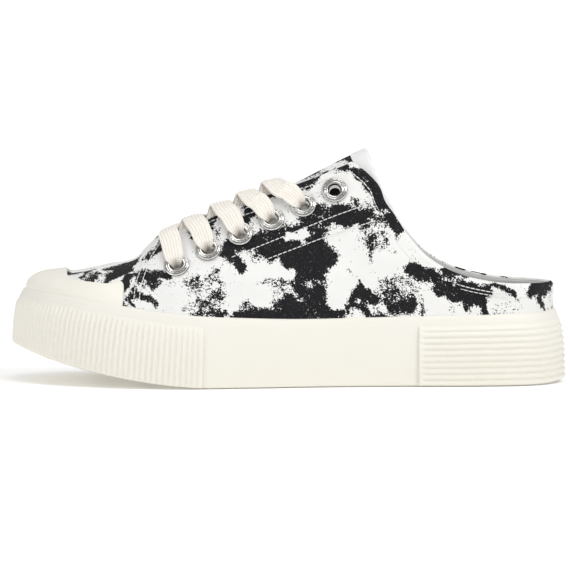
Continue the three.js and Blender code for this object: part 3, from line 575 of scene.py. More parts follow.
def lattice_noise(p, seed):
    """Smooth noise from 0 to 1 with one bump for each unit."""
    by_x, by_y, by_z, by_seed, stir, whole = HASH
    cell = np.floor(p).astype(np.int64)
    f = p - cell
    f = f * f * (3 - 2 * f)
    total = np.zeros(p.shape[:-1])
    for corner in range(8):
        bits = np.array([corner & 1, corner >> 1 & 1, corner >> 2 & 1])
        ids = cell + bits
        h = (ids[..., 0] * by_x) ^ (ids[..., 1] * by_y) ^ (ids[..., 2] * by_z) ^ (seed * by_seed)
        h = (h ^ (h >> 13)) * stir & whole
        h = (h ^ (h >> 16)) & whole
        weight = np.prod(np.where(bits, f, 1 - f), axis=-1)
        total += weight * h / whole
    return total


def fractal(p, size, seed, octaves=3):
    """Layered noise about zero, its largest bumps of that size in millimetres."""
    total = np.zeros(p.shape[:-1])
    for k in range(octaves):
        total += (lattice_noise(p / size * 2**k, seed + k) - 0.5) / 2**k
    return total


def relief(points):
    """How far the cloth swells out or sinks in at each point."""
    x, y, z = points[..., 0], points[..., 1], points[..., 2]
    side = np.sign(y - throat_middle(x))
    total = 0.35 * fractal(points, 24.0, 5, 2)
    for line in SEAM_LINES:
        far = np.abs(left_of(x.ravel(), z.ravel(), line)).reshape(x.shape)
        total -= 0.22 * np.exp(-((far / 0.8) ** 2))
    for row in CREASES:
        hold = side == row[6] if row[6] else 1.0
        total += hold * row[5] * np.exp(-((stroke_distance(x, z, row) / row[4]) ** 2))
    near_edge = smooth(np.abs(y - throat_middle(x)), throat_half(x), throat_half(x) + 8)
    return total * near_edge * smooth(z - floor_at(x) - band_top(x), 0, 5)


def form_sheet(count, rows, out, inner, lift=None, inner_lift=None, skirt=8.0):
    """The form's grid all round, from under the foxing's edge up to the ridge."""
    turns = round_turns(count)
    x = plan(turns)[:, 0]
    t = np.linspace(0, 1, rows) ** 0.9

    def face(offset, raise_by):
        offset = offset(x) if callable(offset) else np.full(len(x), float(offset))
        raise_by = offset if raise_by is None else np.full(len(x), float(raise_by))
        low = [
            sole_point(turns, lambda px, d=d: band_top(px) - d, UPPER_INSET - offset)
            for d in (skirt, skirt / 2)
        ]
        top = form_point(x[None], turns[None], t[:, None], offset[None], raise_by[None])
        return np.concatenate([np.stack(low), top])

    faces = [face(out, lift), face(inner, inner_lift)]
    step = np.linalg.norm(np.diff(faces[0], axis=0), axis=-1)
    up = np.concatenate([np.zeros((1, count)), np.cumsum(step, axis=0)])
    ahead = np.roll(faces[0], -1, 1) - np.roll(faces[0], 1, 1)
    normals = unit(np.cross(ahead, np.gradient(faces[0], axis=0)))
    flip = np.sign(np.median(np.sum(normals * [0, 0, 1], -1)[rows // 2:]))
    change = (relief(faces[0]) * flip)[..., None] * normals
    tris = grid_tris(rows + 2, count)
    if flip < 0:
        tris = tris[:, ::-1]
    thread = np.stack([np.broadcast_to(run_along(plan(turns)), up.shape), up], -1)
    return {
        "outer": (faces[0] + change).reshape(-1, 3),
        "inner": (faces[1] + change).reshape(-1, 3),
        "thread": thread.reshape(-1, 2),
        "tris": tris,
    }


# Pieces

def in_scene(name, data):
    obj = bpy.data.objects.new(name, data)
    bpy.context.scene.collection.objects.link(obj)
    return obj


def make_piece(name, points, faces, materials, kinds=None, data=None, replaces=()):
    """A mesh object in metres from corners in millimetres."""
    mesh = bpy.data.meshes.new(name)
    listed = [face for part in faces for face in part.tolist()]
    mesh.from_pydata((np.asarray(points) / 1000).tolist(), [], listed)
    for key, values in (data or {}).items():
        values = np.asarray(values, float)
        if values.ndim == 1 or values.shape[1] == 1:
            made = mesh.attributes.new(key, "FLOAT", "POINT")
            made.data.foreach_set("value", values.reshape(-1).astype(np.float32))
        else:
            wide = np.zeros((len(values), 3), np.float32)
            wide[:, : values.shape[1]] = values / 1000
            mesh.attributes.new(key, "FLOAT_VECTOR", "POINT").data.foreach_set("vector", wide.reshape(-1))
    for material in materials:
        mesh.materials.append(material)
    if kinds is not None:
        mesh.polygons.foreach_set("material_index", np.asarray(kinds, np.int32))
    mesh.polygons.foreach_set("use_smooth", np.full(len(listed), True))
    mesh.update()
    mesh.validate()
    obj = in_scene(name, mesh)
    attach(obj, "root")
    if replaces:
        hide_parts(*replaces)
    return obj


def ink(points, charts):
    """Strength of the print at each point, from the charts of its side."""
    drift = [fractal(points, 11.0, seed, 4) for seed in (11, 31)]
    x, y, z = points.T
    x = x + 9.0 * drift[0]
    total = 0.75 * fractal(points, 5.0, 51, 3)
    for side, rows in charts:
        height = (z + VIEW_SLOPE * (VIEW_SIDE - side * y) if side else z) + 7.0 * drift[1]
        dark, light = np.zeros((2, len(points)))
        for row in rows:
            value = np.clip(1.6 - stroke_distance(x, height, row) / row[4], 0, 1) * abs(row[5])
            kept = dark if row[5] > 0 else light
            np.maximum(kept, value, out=kept)
        here = 1.0 if not side else (side * (y - throat_middle(x)) >= 0)
        total += here * np.clip(1.3 * dark - 1.3 * light, -0.3, 1.4)
    return total


def shell(name, sheet, materials, kinds_to, charts=None, replaces=(), segments=5, swell=1.0):
    """A closed sheet as a piece.

    kinds_to gives the material of its outer face, its inner face, and both halves of its rim.
    """
    points, faces, kinds, data = close(sheet, segments, swell)
    if charts:
        data["ink"] = ink(points, charts)
    return make_piece(name, points, faces, materials, np.array(kinds_to)[kinds], data, replaces)


def band_ring(turns, share, inset):
    """Sole points a share of the way up the side band."""
    return sole_point(turns, lambda x: mix(FOXING_LIFT, band_top(x), share), inset)


# Materials

THREAD_BUMP, INK_GAIN, INK_LEVEL = 0.00022, 1.6, 0.42


class Value:
    """A number in a material's nodes, with its sums and products."""

    def __init__(self, paint, socket):
        self.paint, self.socket = paint, socket

    def math(self, kind, *others):
        return self.paint.value("ShaderNodeMath", dict(enumerate((self, *others))), operation=kind)

    def __add__(self, other):
        return self.math("ADD", other)

    def __sub__(self, other):
        return self.math("SUBTRACT", other)

    def __mul__(self, other):
        return self.math("MULTIPLY", other)

    def step(self, low, high, to_low=0.0, to_high=1.0):
        inputs = {"Value": self, "From Min": low, "From Max": high, "To Min": to_low, "To Max": to_high}
        return self.paint.value("ShaderNodeMapRange", inputs, interpolation_type="SMOOTHSTEP")


class Paint:
    """A node material being built."""

    def __init__(self, name, color, roughness, **sockets):
        self.material = bpy.data.materials.new(name)
        self.material.use_nodes = True
        self.tree = self.material.node_tree
        self.shader = self.tree.nodes["Principled BSDF"]
        self.shader.inputs["Base Color"].default_value = (*color, 1)
        self.shader.inputs["Roughness"].default_value = roughness
        for key, value in sockets.items():
            self.shader.inputs[key.replace("_", " ")].default_value = value
        self.place = self.node("ShaderNodeTexCoord").outputs["Object"]

    def put(self, value, socket):
        """Links a value or another socket to a socket, or sets a number or a colour on it."""
        value = value.socket if isinstance(value, Value) else value
        if isinstance(value, bpy.types.NodeSocket):
            self.tree.links.new(value, socket)
        else:
            socket.default_value = value

    def node(self, kind, inputs=None, **settings):
        made = self.tree.nodes.new(kind)
        for key, value in settings.items():
            setattr(made, key, value)
        for key, value in (inputs or {}).items():
            self.put(value, made.inputs[key])
        return made

    def value(self, kind, inputs=None, output=0, **settings):
        return Value(self, self.node(kind, inputs, **settings).outputs[output])

    def attribute(self, name):
        return self.value("ShaderNodeAttribute", output="Fac", attribute_name=name)

    def thread(self, axis):
        run = self.node("ShaderNodeAttribute", attribute_name="thread").outputs["Vector"]
        return self.value("ShaderNodeSeparateXYZ", {0: run}, axis)

    def noise(self, scale, detail=3.0, rough=0.55):
        inputs = {"Vector": self.place, "Scale": scale, "Detail": detail, "Roughness": rough}
        return self.value("ShaderNodeTexNoise", inputs, "Fac")

    def blend(self, share, a, b):
        made = self.node("ShaderNodeMix", {0: share}, data_type="RGBA")
        for index, color in ((6, a), (7, b)):
            self.put((*color, 1) if isinstance(color, tuple) else color, made.inputs[index])
        return made.outputs[2]

    def bump(self, height, strength, distance):
        inputs = {"Height": height, "Strength": strength, "Distance": distance}
        self.use("Normal", self.node("ShaderNodeBump", inputs).outputs[0])

    def use(self, key, value):
        self.put(value, self.shader.inputs[key])

    def weave(self, threads, strength):
        """Two crossed sets of threads as bump, that many a metre."""
        sway = (self.noise(160, 2) - 0.5) * 2.2
        rows = []
        for axis, turn in (("X", 0.0), ("Y", 1.57)):
            rows.append((self.thread(axis) * (threads * math.tau) + sway + turn).math("SINE"))
        self.bump(rows[0] * rows[1] + self.noise(2600, 2) * 1.2, strength, THREAD_BUMP)


def tone(color, share):
    return tuple(min(1, c * share) for c in color)


def printed(name, white):
    """White cloth with a black print that breaks up into threads at its edges."""
    paint = Paint(name, white, 0.86, Specular_IOR_Level=0.2, Sheen_Weight=0.03)
    value = paint.attribute("ink") * INK_GAIN - INK_LEVEL
    for scale, amount, detail in ((260, 1.3, 5), (850, 3.0, 3), (1700, 2.2, 2)):
        value += (paint.noise(scale, detail) - 0.5) * amount
    fleck = paint.noise(2300, 2).step(0.66, 0.74)
    mask = value.step(0.42, 0.58) * (fleck * -0.3 + 1.0)
    cloth = paint.blend(paint.noise(60, 3).step(0.3, 0.75), white, tone(white, 0.955))
    black = paint.blend(paint.noise(500, 2), (0.008, 0.008, 0.0095), (0.016, 0.016, 0.018))
    paint.use("Base Color", paint.blend(mask, cloth, black))
    paint.use("Roughness", paint.noise(700, 2).step(0.2, 0.8, 0.8, 0.92))
    paint.weave(1500, 0.55)
    return paint.material


def plain_cloth(name, color, threads, strength, vary):
    paint = Paint(name, color, 0.9, Specular_IOR_Level=0.25, Sheen_Weight=0.15)
    share = paint.noise(90, 3) * 0.6 + paint.noise(1500, 2) * 0.4
    paint.use("Base Color", paint.blend(share, tone(color, 1 - 2 * vary), tone(color, 1 + vary)))
    paint.use("Roughness", paint.noise(800, 2).step(0.2, 0.8, 0.84, 0.95))
    paint.weave(threads, strength)
    return paint.material


def rubber(name, color, low, rough=0.44, grain=0.10):
    """Satin rubber, a little darker and duller towards the floor as painted shade, with faint scuffs."""
    paint = Paint(name, color, rough, Specular_IOR_Level=0.42, Coat_Weight=0.05, Coat_Roughness=0.4)
    height = paint.value("ShaderNodeSeparateXYZ", {0: paint.place}, "Z")
    cloud = paint.noise(35, 4).step(0.35, 0.75) * 0.35
    # Painted shade: the colour turns to the darker low tone in the lowest 30 mm, with random cloudy tone on
    # top.
    shade = paint.blend(height.step(0.0, 0.03, 1.0, 0.0) * 0.65 + cloud, color, low)
    scuff = paint.noise(420, 5, 0.75).step(0.66, 0.8) * 0.14
    paint.use("Base Color", paint.blend(scuff, shade, tone(low, 0.86)))
    paint.use("Roughness", paint.noise(130, 4).step(0.2, 0.8, rough - 0.06, rough + 0.08) + scuff)
    paint.bump(paint.noise(1900, 3) + paint.noise(420, 2) * 0.4, grain, 0.0003)
    return paint.material


def metal():
    paint = Paint("eyelet_nickel", (0.6, 0.595, 0.58), 0.2, Metallic=1.0)
    paint.use("Roughness", paint.noise(900, 4).step(0.3, 0.8, 0.14, 0.34))
    bright = paint.blend(paint.noise(500, 3).step(0.3, 0.8), (0.74, 0.73, 0.71), (0.52, 0.51, 0.49))
    # Painted shade: where the rings' shade value is high, the nickel turns near black. That is in its
    # grooves, between its dots and at its rims.
    paint.use("Base Color", paint.blend(paint.attribute("shade"), bright, (0.07, 0.065, 0.06)))
    paint.bump(paint.noise(700, 3), 0.12, 0.0004)
    return paint.material


# Painted shade: near-black metal inside the eyelets' barrels, standing in for the shade down in their
# holes.
def shaded_barrel_metal():
    paint = Paint("eyelet_barrel", (0.07, 0.062, 0.055), 0.5, Metallic=1.0)
    paint.use("Base Color", paint.blend(paint.noise(900, 3), (0.09, 0.08, 0.07), (0.04, 0.035, 0.03)))
    paint.use("Roughness", paint.noise(700, 3).step(0.2, 0.8, 0.4, 0.65))
    return paint.material


def lace_cotton(color):
    """Plaited cotton, with painted shade that turns it brown in its folds."""
    paint = Paint("lace_cotton", color, 0.88, Specular_IOR_Level=0.25, Sheen_Weight=0.25)
    plait = (paint.thread("Y") * (900 * math.tau) + paint.thread("X") * (420 * math.tau)).math("SINE")
    paint.bump(plait + paint.noise(2600, 2) * 1.4, 0.4, THREAD_BUMP)
    fold = paint.attribute("fold").step(0.15, 1.0)
    cloth = paint.blend(paint.noise(300, 3), tone(color, 0.95), tone(color, 1.05))
    # Painted shade: brown where the fold value is high, in the middle of the band where it folds into an
    # eyelet.
    paint.use("Base Color", paint.blend(fold * 0.42, cloth, (0.55, 0.44, 0.33)))
    paint.use("Roughness", paint.noise(900, 2).step(0.2, 0.8, 0.82, 0.94))
    return paint.material


CANVAS_MAT = printed("printed_canvas", (0.945, 0.94, 0.92))
TONGUE_MAT = printed("tongue_canvas", (0.90, 0.90, 0.89))
LINING_MAT = plain_cloth("lining_grey", (0.72, 0.712, 0.70), 1700, 0.25, 0.04)
WEBBING_MAT = plain_cloth("webbing_white", (0.90, 0.90, 0.90), 1000, 0.7, 0.03)
FOOTBED_MAT = plain_cloth("footbed_grey", (0.42, 0.42, 0.415), 1300, 0.5, 0.08)
THREAD_MAT = plain_cloth("thread_white", (0.88, 0.88, 0.87), 1500, 0.4, 0.03)
RUBBER_MAT = rubber("sole_rubber", (0.825, 0.802, 0.735), (0.808, 0.78, 0.695))
STRIP_MAT = rubber("strip_rubber", (0.84, 0.815, 0.742), (0.82, 0.79, 0.70), 0.48)
CAP_MAT = rubber("cap_rubber", (0.85, 0.825, 0.75), (0.83, 0.80, 0.71), 0.42, 0.07)
TREAD_MAT = rubber("tread_rubber", (0.80, 0.75, 0.62), (0.74, 0.69, 0.56), 0.62, 0.3)
METAL_MAT, BARREL_MAT = metal(), shaded_barrel_metal()
LACE_MAT = lace_cotton((0.91, 0.865, 0.80))


# Upper: vamp, quarter, collar binding and lining

def quarter_inside(x):
    """The quarter's inner face: close to the lining, and lying on the vamp where they overlap."""
    front = along(QUARTER_EDGE[0][0])
    return mix(-1.25, 0.05, smooth(x, front - 22, front - 14))


def eyelet_places(side):
    """Centre and outward direction of each eyelet of a side, number 1 nearest the toe."""
    found = []
    for k in range(EYELETS):
        x = along(1) - EYELET_FIRST - k * EYELET_PITCH
        edge = throat_middle(x) + side * throat_half(x)
        height = spot_on_form(x, edge, side, QUARTER_STEP)[0][2] - EYELET_DROP + k * EYELET_RISE
        found.append(spot_on_form(x, height, side, QUARTER_STEP, axis=2))
    return found


EYELET_ROWS = {side: eyelet_places(side) for side in (OUTER, INNER)}


def clear_of_eyelets(s):
    least = np.full(len(s["outer"]), 1e9)
    for centre, normal in EYELET_ROWS[OUTER] + EYELET_ROWS[INNER]:
        gap = s["outer"] - centre
        up = gap @ normal
        aside = np.sqrt(np.maximum(np.sum(gap * gap, 1) - up * up, 0))
        least = np.minimum(least, np.where(np.abs(up) < 6, aside, 1e9))
    return least - EYELET_CLEAR


def behind(x):
    return lambda s: x - s["outer"][:, 0]


SIDES = [(OUTER, PRINT_OUTER), (INNER, PRINT_INNER)]
CLOTH = [CANVAS_MAT, LINING_MAT]
vamp = clip(
    form_sheet(420, 46, 0.0, VAMP_INSIDE),
    in_side(QUARTER_LINE, 1, -9.0), in_side(CAP_LINE, -1, -6.0), outside_throat(0.4),
)
shell("vamp", vamp, CLOTH, (0, 1, 0, 0), SIDES, ["upper"], 4)

quarter = clip(
    form_sheet(560, ROWS, QUARTER_STEP, quarter_inside),
    in_side(QUARTER_LINE, -1), in_side(TOP_EDGE, 1), outside_throat(), clear_of_eyelets,
)
shell("quarter", quarter, CLOTH, (0, 1, 0, 0), SIDES, ["upper"], 5)

lining = clip(
    form_sheet(300, 44, LINING_OUT, -CANVAS),
    in_side(CAP_LINE, -1, -40.0), in_side(TOP_EDGE, 1, 0.3), outside_throat(0.5), clear_of_eyelets,
)
shell("lining", lining, [LINING_MAT], (0, 0, 0, 0), None, ["upper"], 3)

collar = clip(
    form_sheet(560, ROWS, QUARTER_STEP + 0.75, -CANVAS - 0.35),
    in_side(TOP_EDGE, 1, 0.9), in_side(TOP_EDGE, -1, -BAND_WIDTH - 0.6),
    behind(along(TOPLINE[0][0]) + 2.0), outside_throat(0.2),
)
shell("collar_binding", collar, CLOTH, (0, 1, 0, 1), SIDES, ["upper"], 8, 0.7)

cap = clip(form_sheet(420, 40, GAP + CAP_THICKNESS, GAP - 0.2, skirt=5.0), in_side(CAP_LINE, 1, 0.7))
shell("rubber_toe_cap", cap, [CAP_MAT], (0, 0, 0, 0), None, ["toe_cap"], 6)


# Tongue

TONGUE_OUT = -CANVAS - GAP
TONGUE_TIP = along(1) - TONGUE_END
TIP_LINE = np.array([
    (TONGUE_TIP + 22.0, 200.0), (TONGUE_TIP + 0.4, 113.5), (TONGUE_TIP - 9, 90.0), (TONGUE_TIP - 30, 53.0),
])


def tongue_rise(x):
    return TONGUE_RISE * smooth(-x, -4, -TONGUE_TIP)


def under_throat(s):
    x, y = s["outer"][:, 0], s["outer"][:, 1]
    return throat_half(x) + 13.6 - np.abs(y - throat_middle(x))


def tongue_sheet(out, inner):
    """The tongue under the throat, rising a little to its end and swelling between its edges."""
    sheet = form_sheet(360, 64, out, inner, out - TONGUE_DROP, inner - TONGUE_DROP)
    for key in ("outer", "inner"):
        x, y = sheet[key][:, 0], sheet[key][:, 1]
        inside = np.clip(1 - np.abs(y - throat_middle(x)) / (throat_half(x) + 2), 0, 1)
        sheet[key][:, 2] += tongue_rise(x) * smooth(inside, 0, 0.5)
    return clip(sheet, under_throat, behind(along(1) - THROAT_START + 5))


tongue = clip(tongue_sheet(TONGUE_OUT, TONGUE_OUT - TONGUE_THICKNESS), in_side(TIP_LINE, 1, 0.8))
tongue_piece = shell(
    "tongue_pad", tongue, [TONGUE_MAT, LINING_MAT], (0, 1, 0, 0), [(0, PRINT_TONGUE)],
    ["tongue"], 7,
)
binding = clip(
    tongue_sheet(TONGUE_OUT + 0.5, TONGUE_OUT - TONGUE_THICKNESS - 0.4),
    in_side(TIP_LINE, 1, 0.6), in_side(TIP_LINE, -1, -6.2), lambda s: s["outer"][:, 0] - TONGUE_TIP + 13,
)
shell("tongue_binding", binding, [WEBBING_MAT], (0, 0, 0, 0), None, ["tongue"], 8)


# Sole: side band, ribbed strips, footbed

def band_inset(turns, share):
    """The side band's inset, its top and bottom edges rounded."""
    x = plan(turns)[:, 0]
    size = band_top(x) - FOXING_LIFT
    return foxing_inset(x, share) + rounding(1.4, share * size) + rounding(1.3, (1 - share) * size)


turns = round_turns(560)
ends = np.array([0, 0.003, 0.008, 0.016, 0.027, 0.041])
rings = [
    band_ring(turns, share, band_inset(turns, share))
    for share in np.concatenate([ends, np.linspace(0.08, 0.92, 14), 1 - ends[::-1]])
]
rings += [band_ring(turns, share, STRIP + GAP + FOXING_DEPTH) for share in (0.99, 0.7, 0.4, 0.0)]
faces = loop_faces(len(rings), len(turns), closed=True)
make_piece("side_band", np.concatenate(rings), faces, [RUBBER_MAT], replaces=["foxing"])


def strip_piece(name, turns, shares, groove, top_fade, node):
    """A ribbed strip: its front face bottom to top, then its back face on the band."""
    sections = []
    for k, turn in enumerate(turns):
        x = plan(turn)[0]
        top = float(band_top(x))
        low, high = shares * (top - FOXING_LIFT), (STRIP_TOP - shares) * (top - FOXING_LIFT)
        bevel = rounding(1.5, low)
        depth = (STRIP + GAP) * 0.96 * (1 - smooth(high, 0, top_fade))
        ribs = groove(k, shares) * smooth(high, 0.2, 2.0) * smooth(low, -0.6, 1.2)
        ribs *= 1 - 0.75 * depth / STRIP
        up = mix(FOXING_LIFT, top, shares)
        at = np.full(len(shares), turn)
        band = foxing_inset(x, shares)
        sections.append(sole_point(at, up, band - GAP - STRIP + bevel + depth + ribs))
        sections.append(sole_point(at, up[::-1], band[::-1] + 0.25 + bevel[::-1]))
    faces = loop_faces(len(turns), 2 * len(shares), closed=False)
    make_piece(name, np.concatenate(sections), faces, [STRIP_MAT], replaces=[node])


def toe_strip():
    start, end = (turn_at(along(1) - TOE_STRIP_END, side) for side in (OUTER, INNER))
    ribs, per = round(even_turns(2, start, end)[1] / TOE_RIB_PITCH), 8
    last = ribs * per
    shares = np.concatenate([
        [0, 0.008, 0.02, 0.04], np.linspace(0.07, STRIP_TOP - 0.06, 9),
        STRIP_TOP - np.array([0.05, 0.04, 0.03, 0.02, 0.01, 0]),
    ])

    def groove(k, _):
        hold = smooth(min(k, last - k), per * 0.5, per * 1.2)
        return RIB * 1.7 * (0.5 + 0.5 * math.cos(math.tau * k / per)) ** 1.2 * hold
    strip_piece("toe_ribs", even_turns(last + 1, start, end)[0], shares, groove, 4.5, "toe_strip")


def heel_strip():
    start, end = turn_at(along(0) + HEEL_STRIP_END, INNER), turn_at(along(0) + HEEL_STRIP_END, OUTER) + 1
    turns = even_turns(170, start, end)[0]

    def groove(k, s):
        wave = (0.5 + 0.5 * np.cos(math.tau * (s / STRIP_TOP * HEEL_RIBS))) ** 1.8
        return RIB * 1.9 * wave * smooth(min(k, len(turns) - 1 - k), 0.5, 3.0)
    strip_piece("heel_ribs", turns, np.linspace(0, STRIP_TOP, HEEL_RIBS * 8 + 1), groove, 3.0, "heel_strip")


toe_strip()
heel_strip()

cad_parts["outsole"].data.materials.clear()
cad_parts["outsole"].data.materials.append(TREAD_MAT)


def footbed():
    """The insole's rim, and rings from there to a line along its middle, a little dished."""
    turns = round_turns(240)
    levels = [(0.4, 0), (3.2, 0), (3.9, 0.3), (4.2, 1.2)]
    rim = UPPER_INSET + CANVAS + 0.6
    rings = [sole_point(turns, OUTSOLE_HEIGHT + up, rim + inset) for up, inset in levels]
    edge = rings[-1]
    x = np.clip(edge[:, 0], along(0) + 9, along(1) - 9)
    middle_y = (plan(turn_at(x, OUTER))[:, 1] + plan(turn_at(x, INNER))[:, 1]) / 2
    middle_x = np.clip(edge[:, 0], along(0) + 16, along(1) - 16)
    for share in (0.94, 0.84, 0.7, 0.5, 0.25, 0.0):
        x, y = mix(middle_x, edge[:, 0], share), mix(middle_y, edge[:, 1], share)
        rings.append(np.stack([x, y, floor_at(x) + OUTSOLE_HEIGHT + 4.2 - 0.9 * (1 - share**2)], -1))
    points = np.concatenate(rings)
    faces = loop_faces(len(rings), len(turns), closed=False)[:2]
    make_piece(
        "footbed", points, faces, [FOOTBED_MAT], data={"thread": points[:, :2]},
        replaces=["insole"],
    )


footbed()


# Eyelets: radius and height of the section, from the barrel's end up and over the flange

EYELET_PROFILE = [
    (3.35, -2.4), (2.95, -2.4), (2.8, -1.6), (2.78, -0.5), (2.85, 0.15), (3, 0.55), (3.25, 0.85),
    (3.6, 1.02), (3.95, 1.05), (4.15, 1), (4.3, 0.9), (4.45, 0.9), (4.6, 0.98), (4.95, 0.97), (5.15, 0.93),
    (5.3, 0.83), (5.45, 0.82), (5.6, 0.86), (5.85, 0.74), (6.05, 0.52), (6.17, 0.25), (6.2, -0.05),
    (6.1, -0.4), (5.7, -0.5), (4.6, -0.1), (3.5, -0.2),
]
EYELET_SIDES, EYELET_LIFT = 56, 0.42
EYELET_GROOVES = (4.3, 4.45, 5.3, 5.45)


def eyelet_piece(name, centre, normal, node):
    a = np.linspace(0, math.tau, EYELET_SIDES, endpoint=False)[:, None]
    ahead = unit(np.cross([0.0, 1.0, 0.0], normal))
    round_it = np.cos(a) * ahead + np.sin(a) * np.cross(normal, ahead)
    rings, shade = [], []
    for radius, height in EYELET_PROFILE:
        dotted = 4.5 < radius < 5.2
        dots = 0.16 * np.clip(np.cos(a * 18), 0, 1) ** 2 * dotted
        # Painted shade, kept in the shade value. It is high in the two grooves and round the inner and
        # outer rims, and middling between the dots of the dotted ring.
        dark = 0.75 if radius in EYELET_GROOVES else 0.8 * (radius < 3.3 or radius > 6.1)
        shade.append(dark + (0.35 - 2 * dots) * dotted)
        rings.append(centre + radius * round_it + (height + EYELET_LIFT + dots) * normal)
    faces = loop_faces(len(rings), EYELET_SIDES, closed=True)
    # The barrel's inner wall gets the near-black metal of painted shade.
    barrel = np.repeat([int(0 < k < 4) for k in range(len(rings))], EYELET_SIDES)
    make_piece(
        name, np.concatenate(rings), faces, [METAL_MAT, BARREL_MAT], barrel,
        {"shade": np.clip(np.concatenate(shade), 0, 1)}, replaces=[node],
    )


SIDE_WORDS = {OUTER: "outer", INNER: "inner"}
for side, word in SIDE_WORDS.items():
    for k, (centre, normal) in enumerate(EYELET_ROWS[side]):
        eyelet_piece(f"ring_{word}_{k + 1}", centre, normal, f"eyelet_{word}_{k + 1}")


# Lace: flat ribbed band, folded narrow where it comes up through an eyelet

def ribbon(name, path, node, samples=90):
    """A band along a path. Its rows: point, facing direction, width, fold depth."""
    knots = spline([np.concatenate([p, f, [w, d]]) for p, f, w, d in path], samples)
    middle, facing, width, fold = np.split(knots, [3, 6, 7], axis=1)
    facing, fold = unit(facing), np.maximum(fold, 0)
    tangent = unit(np.gradient(middle, axis=0))
    across = unit(np.cross(facing, tangent))
    up = np.cross(tangent, across)
    run = run_along(middle)[:, None]
    s = np.linspace(-1, 1, 57)
    thick = LACE_THICKNESS / 2 * (1 - np.abs(s) ** 7) ** 0.5
    ribs = 0.24 * np.cos(math.pi * LACE_RIBS * s) * (1 - np.abs(s) ** 8)
    wave = 0.12 * np.sin(run / 3.1 + RNG.uniform(0, 6)) * s
    valley = -fold * (1 - np.abs(s) ** 1.5) - 0.25 * s**2 + wave
    flat = middle[:, None] + (s * width / 2)[..., None] * across[:, None]
    faces = (valley + thick + ribs, valley - thick - ribs)
    top, low = (flat + rise[..., None] * up[:, None] for rise in faces)
    rings = np.concatenate([top, low[:, -2:0:-1]], axis=1)
    s_round = np.concatenate([s, s[-2:0:-1]])
    shape = rings.shape[:2]
    thread = [np.broadcast_to(v, shape) for v in (s_round * LACE_WIDTH / 2, run)]
    data = {
        "thread": np.stack(thread, -1).reshape(-1, 2),
        # fold: how much painted shade the lace's colour gets, most in the middle of the band where it
        # folds.
        "fold": (fold / 1.6 * (1 - np.abs(s_round))).reshape(-1),
    }
    faces = loop_faces(samples, shape[1], closed=False)
    make_piece(name, rings.reshape(-1, 3), faces, [LACE_MAT], data=data, replaces=[node])


def over_flap(x, y, side, lift):
    point, normal = spot_on_form(x, y, side, QUARTER_STEP)
    return point + lift * normal, normal


def over_tongue(x, share, lift):
    y = throat_middle(x) + share * throat_half(x)
    point, normal = spot_on_form(x, y, 1.0 if share >= 0 else -1.0, 0.0)
    up = lift + LACE_THICKNESS / 2 - CANVAS - TONGUE_DROP + float(tongue_rise(x))
    return point + [0, 0, up], unit(normal * [0.5, 1.0, 1.0])


def up_from_eyelet(centre, normal, side, reach, lift):
    """The stretch from inside an eyelet's hole up to the flap's edge."""
    x = centre[0] + reach
    edge_y = float(throat_middle(x) + side * throat_half(x))
    edge, edge_normal = over_flap(x, edge_y, side, 2.0 + lift)
    half_way = 0.62
    half, half_normal = over_flap(
        centre[0] + reach * half_way, mix(centre[1], edge_y, half_way), side, 2.5 + lift
    )
    way = edge - centre
    way = unit(way - (way @ normal) * normal)
    return [
        (centre - 2.6 * normal + 0.1 * way, unit(normal * 0.2 - way), 4.2, 1.6),
        (centre - 0.2 * normal + 0.5 * way, unit(normal * 0.35 - way * 0.9), 5.2, 1.5),
        (centre + 1.9 * normal + 1.7 * way, unit(normal - way * 0.9), 7.2, 1.2),
        (centre + 2.9 * normal + 4.4 * way, normal, 9.2, 0.5),
        (half, half_normal, LACE_BAND - 0.1, 0.25),
        (edge, edge_normal, LACE_BAND, 0.0),
    ]


def lace_bar():
    near, far = (up_from_eyelet(*EYELET_ROWS[side][0], side, 3.5, 0.7) for side in (OUTER, INNER))
    top = (*over_tongue(EYELET_ROWS[OUTER][0][0][0] + 4.2, 0.0, 5.2), LACE_BAND, 0.0)
    ribbon("lace_bar", [*near, top, *far[::-1]], "lace_bar_1", 150)


# How far towards the toe each crossing's middle lies from its eyelet
MIDDLE_REACH = [0, 8.2, 9.6, 12.0, 15.0]


def lace_strand(k, side, lift):
    """Half a crossing, from its eyelet over the tongue and under the other flap."""
    centre, normal = EYELET_ROWS[side][k]
    x = centre[0] + MIDDLE_REACH[k]
    rows = up_from_eyelet(centre, normal, side, MIDDLE_REACH[k] * 0.72, lift * 0.3)
    for ahead, share, up, fold in (
        (0.0, 0.35, 4.0 + lift, 0.0), (1.2, -0.3, 2.5 + lift * 0.8, 0.0),
        (2.6, -0.86, 0.7, 0.0), (3.4, -1.22, -0.5, 0.1),
    ):
        rows.append((*over_tongue(x + ahead, side * share, up), LACE_BAND, fold))
    ribbon(f"lace_{SIDE_WORDS[side]}_{k + 1}", rows, f"lace_cross_{k + 1}")


lace_bar()
for k in range(1, EYELETS - 1):
    lace_strand(k, OUTER, 1.7)
    lace_strand(k, INNER, 0.0)


# Stitches: capsules of five rings: place along, size, rise

STITCH_RINGS = [
    (-1.0, 0.25, -0.22), (-0.72, 0.85, 0.05), (0.0, 1.0, 0.14), (0.72, 0.85, 0.05), (1.0, 0.25, -0.22),
]
STITCH_SIDES, STITCH, STITCH_GAP, STITCH_RADIUS = 6, 2.3, 0.2, 0.25


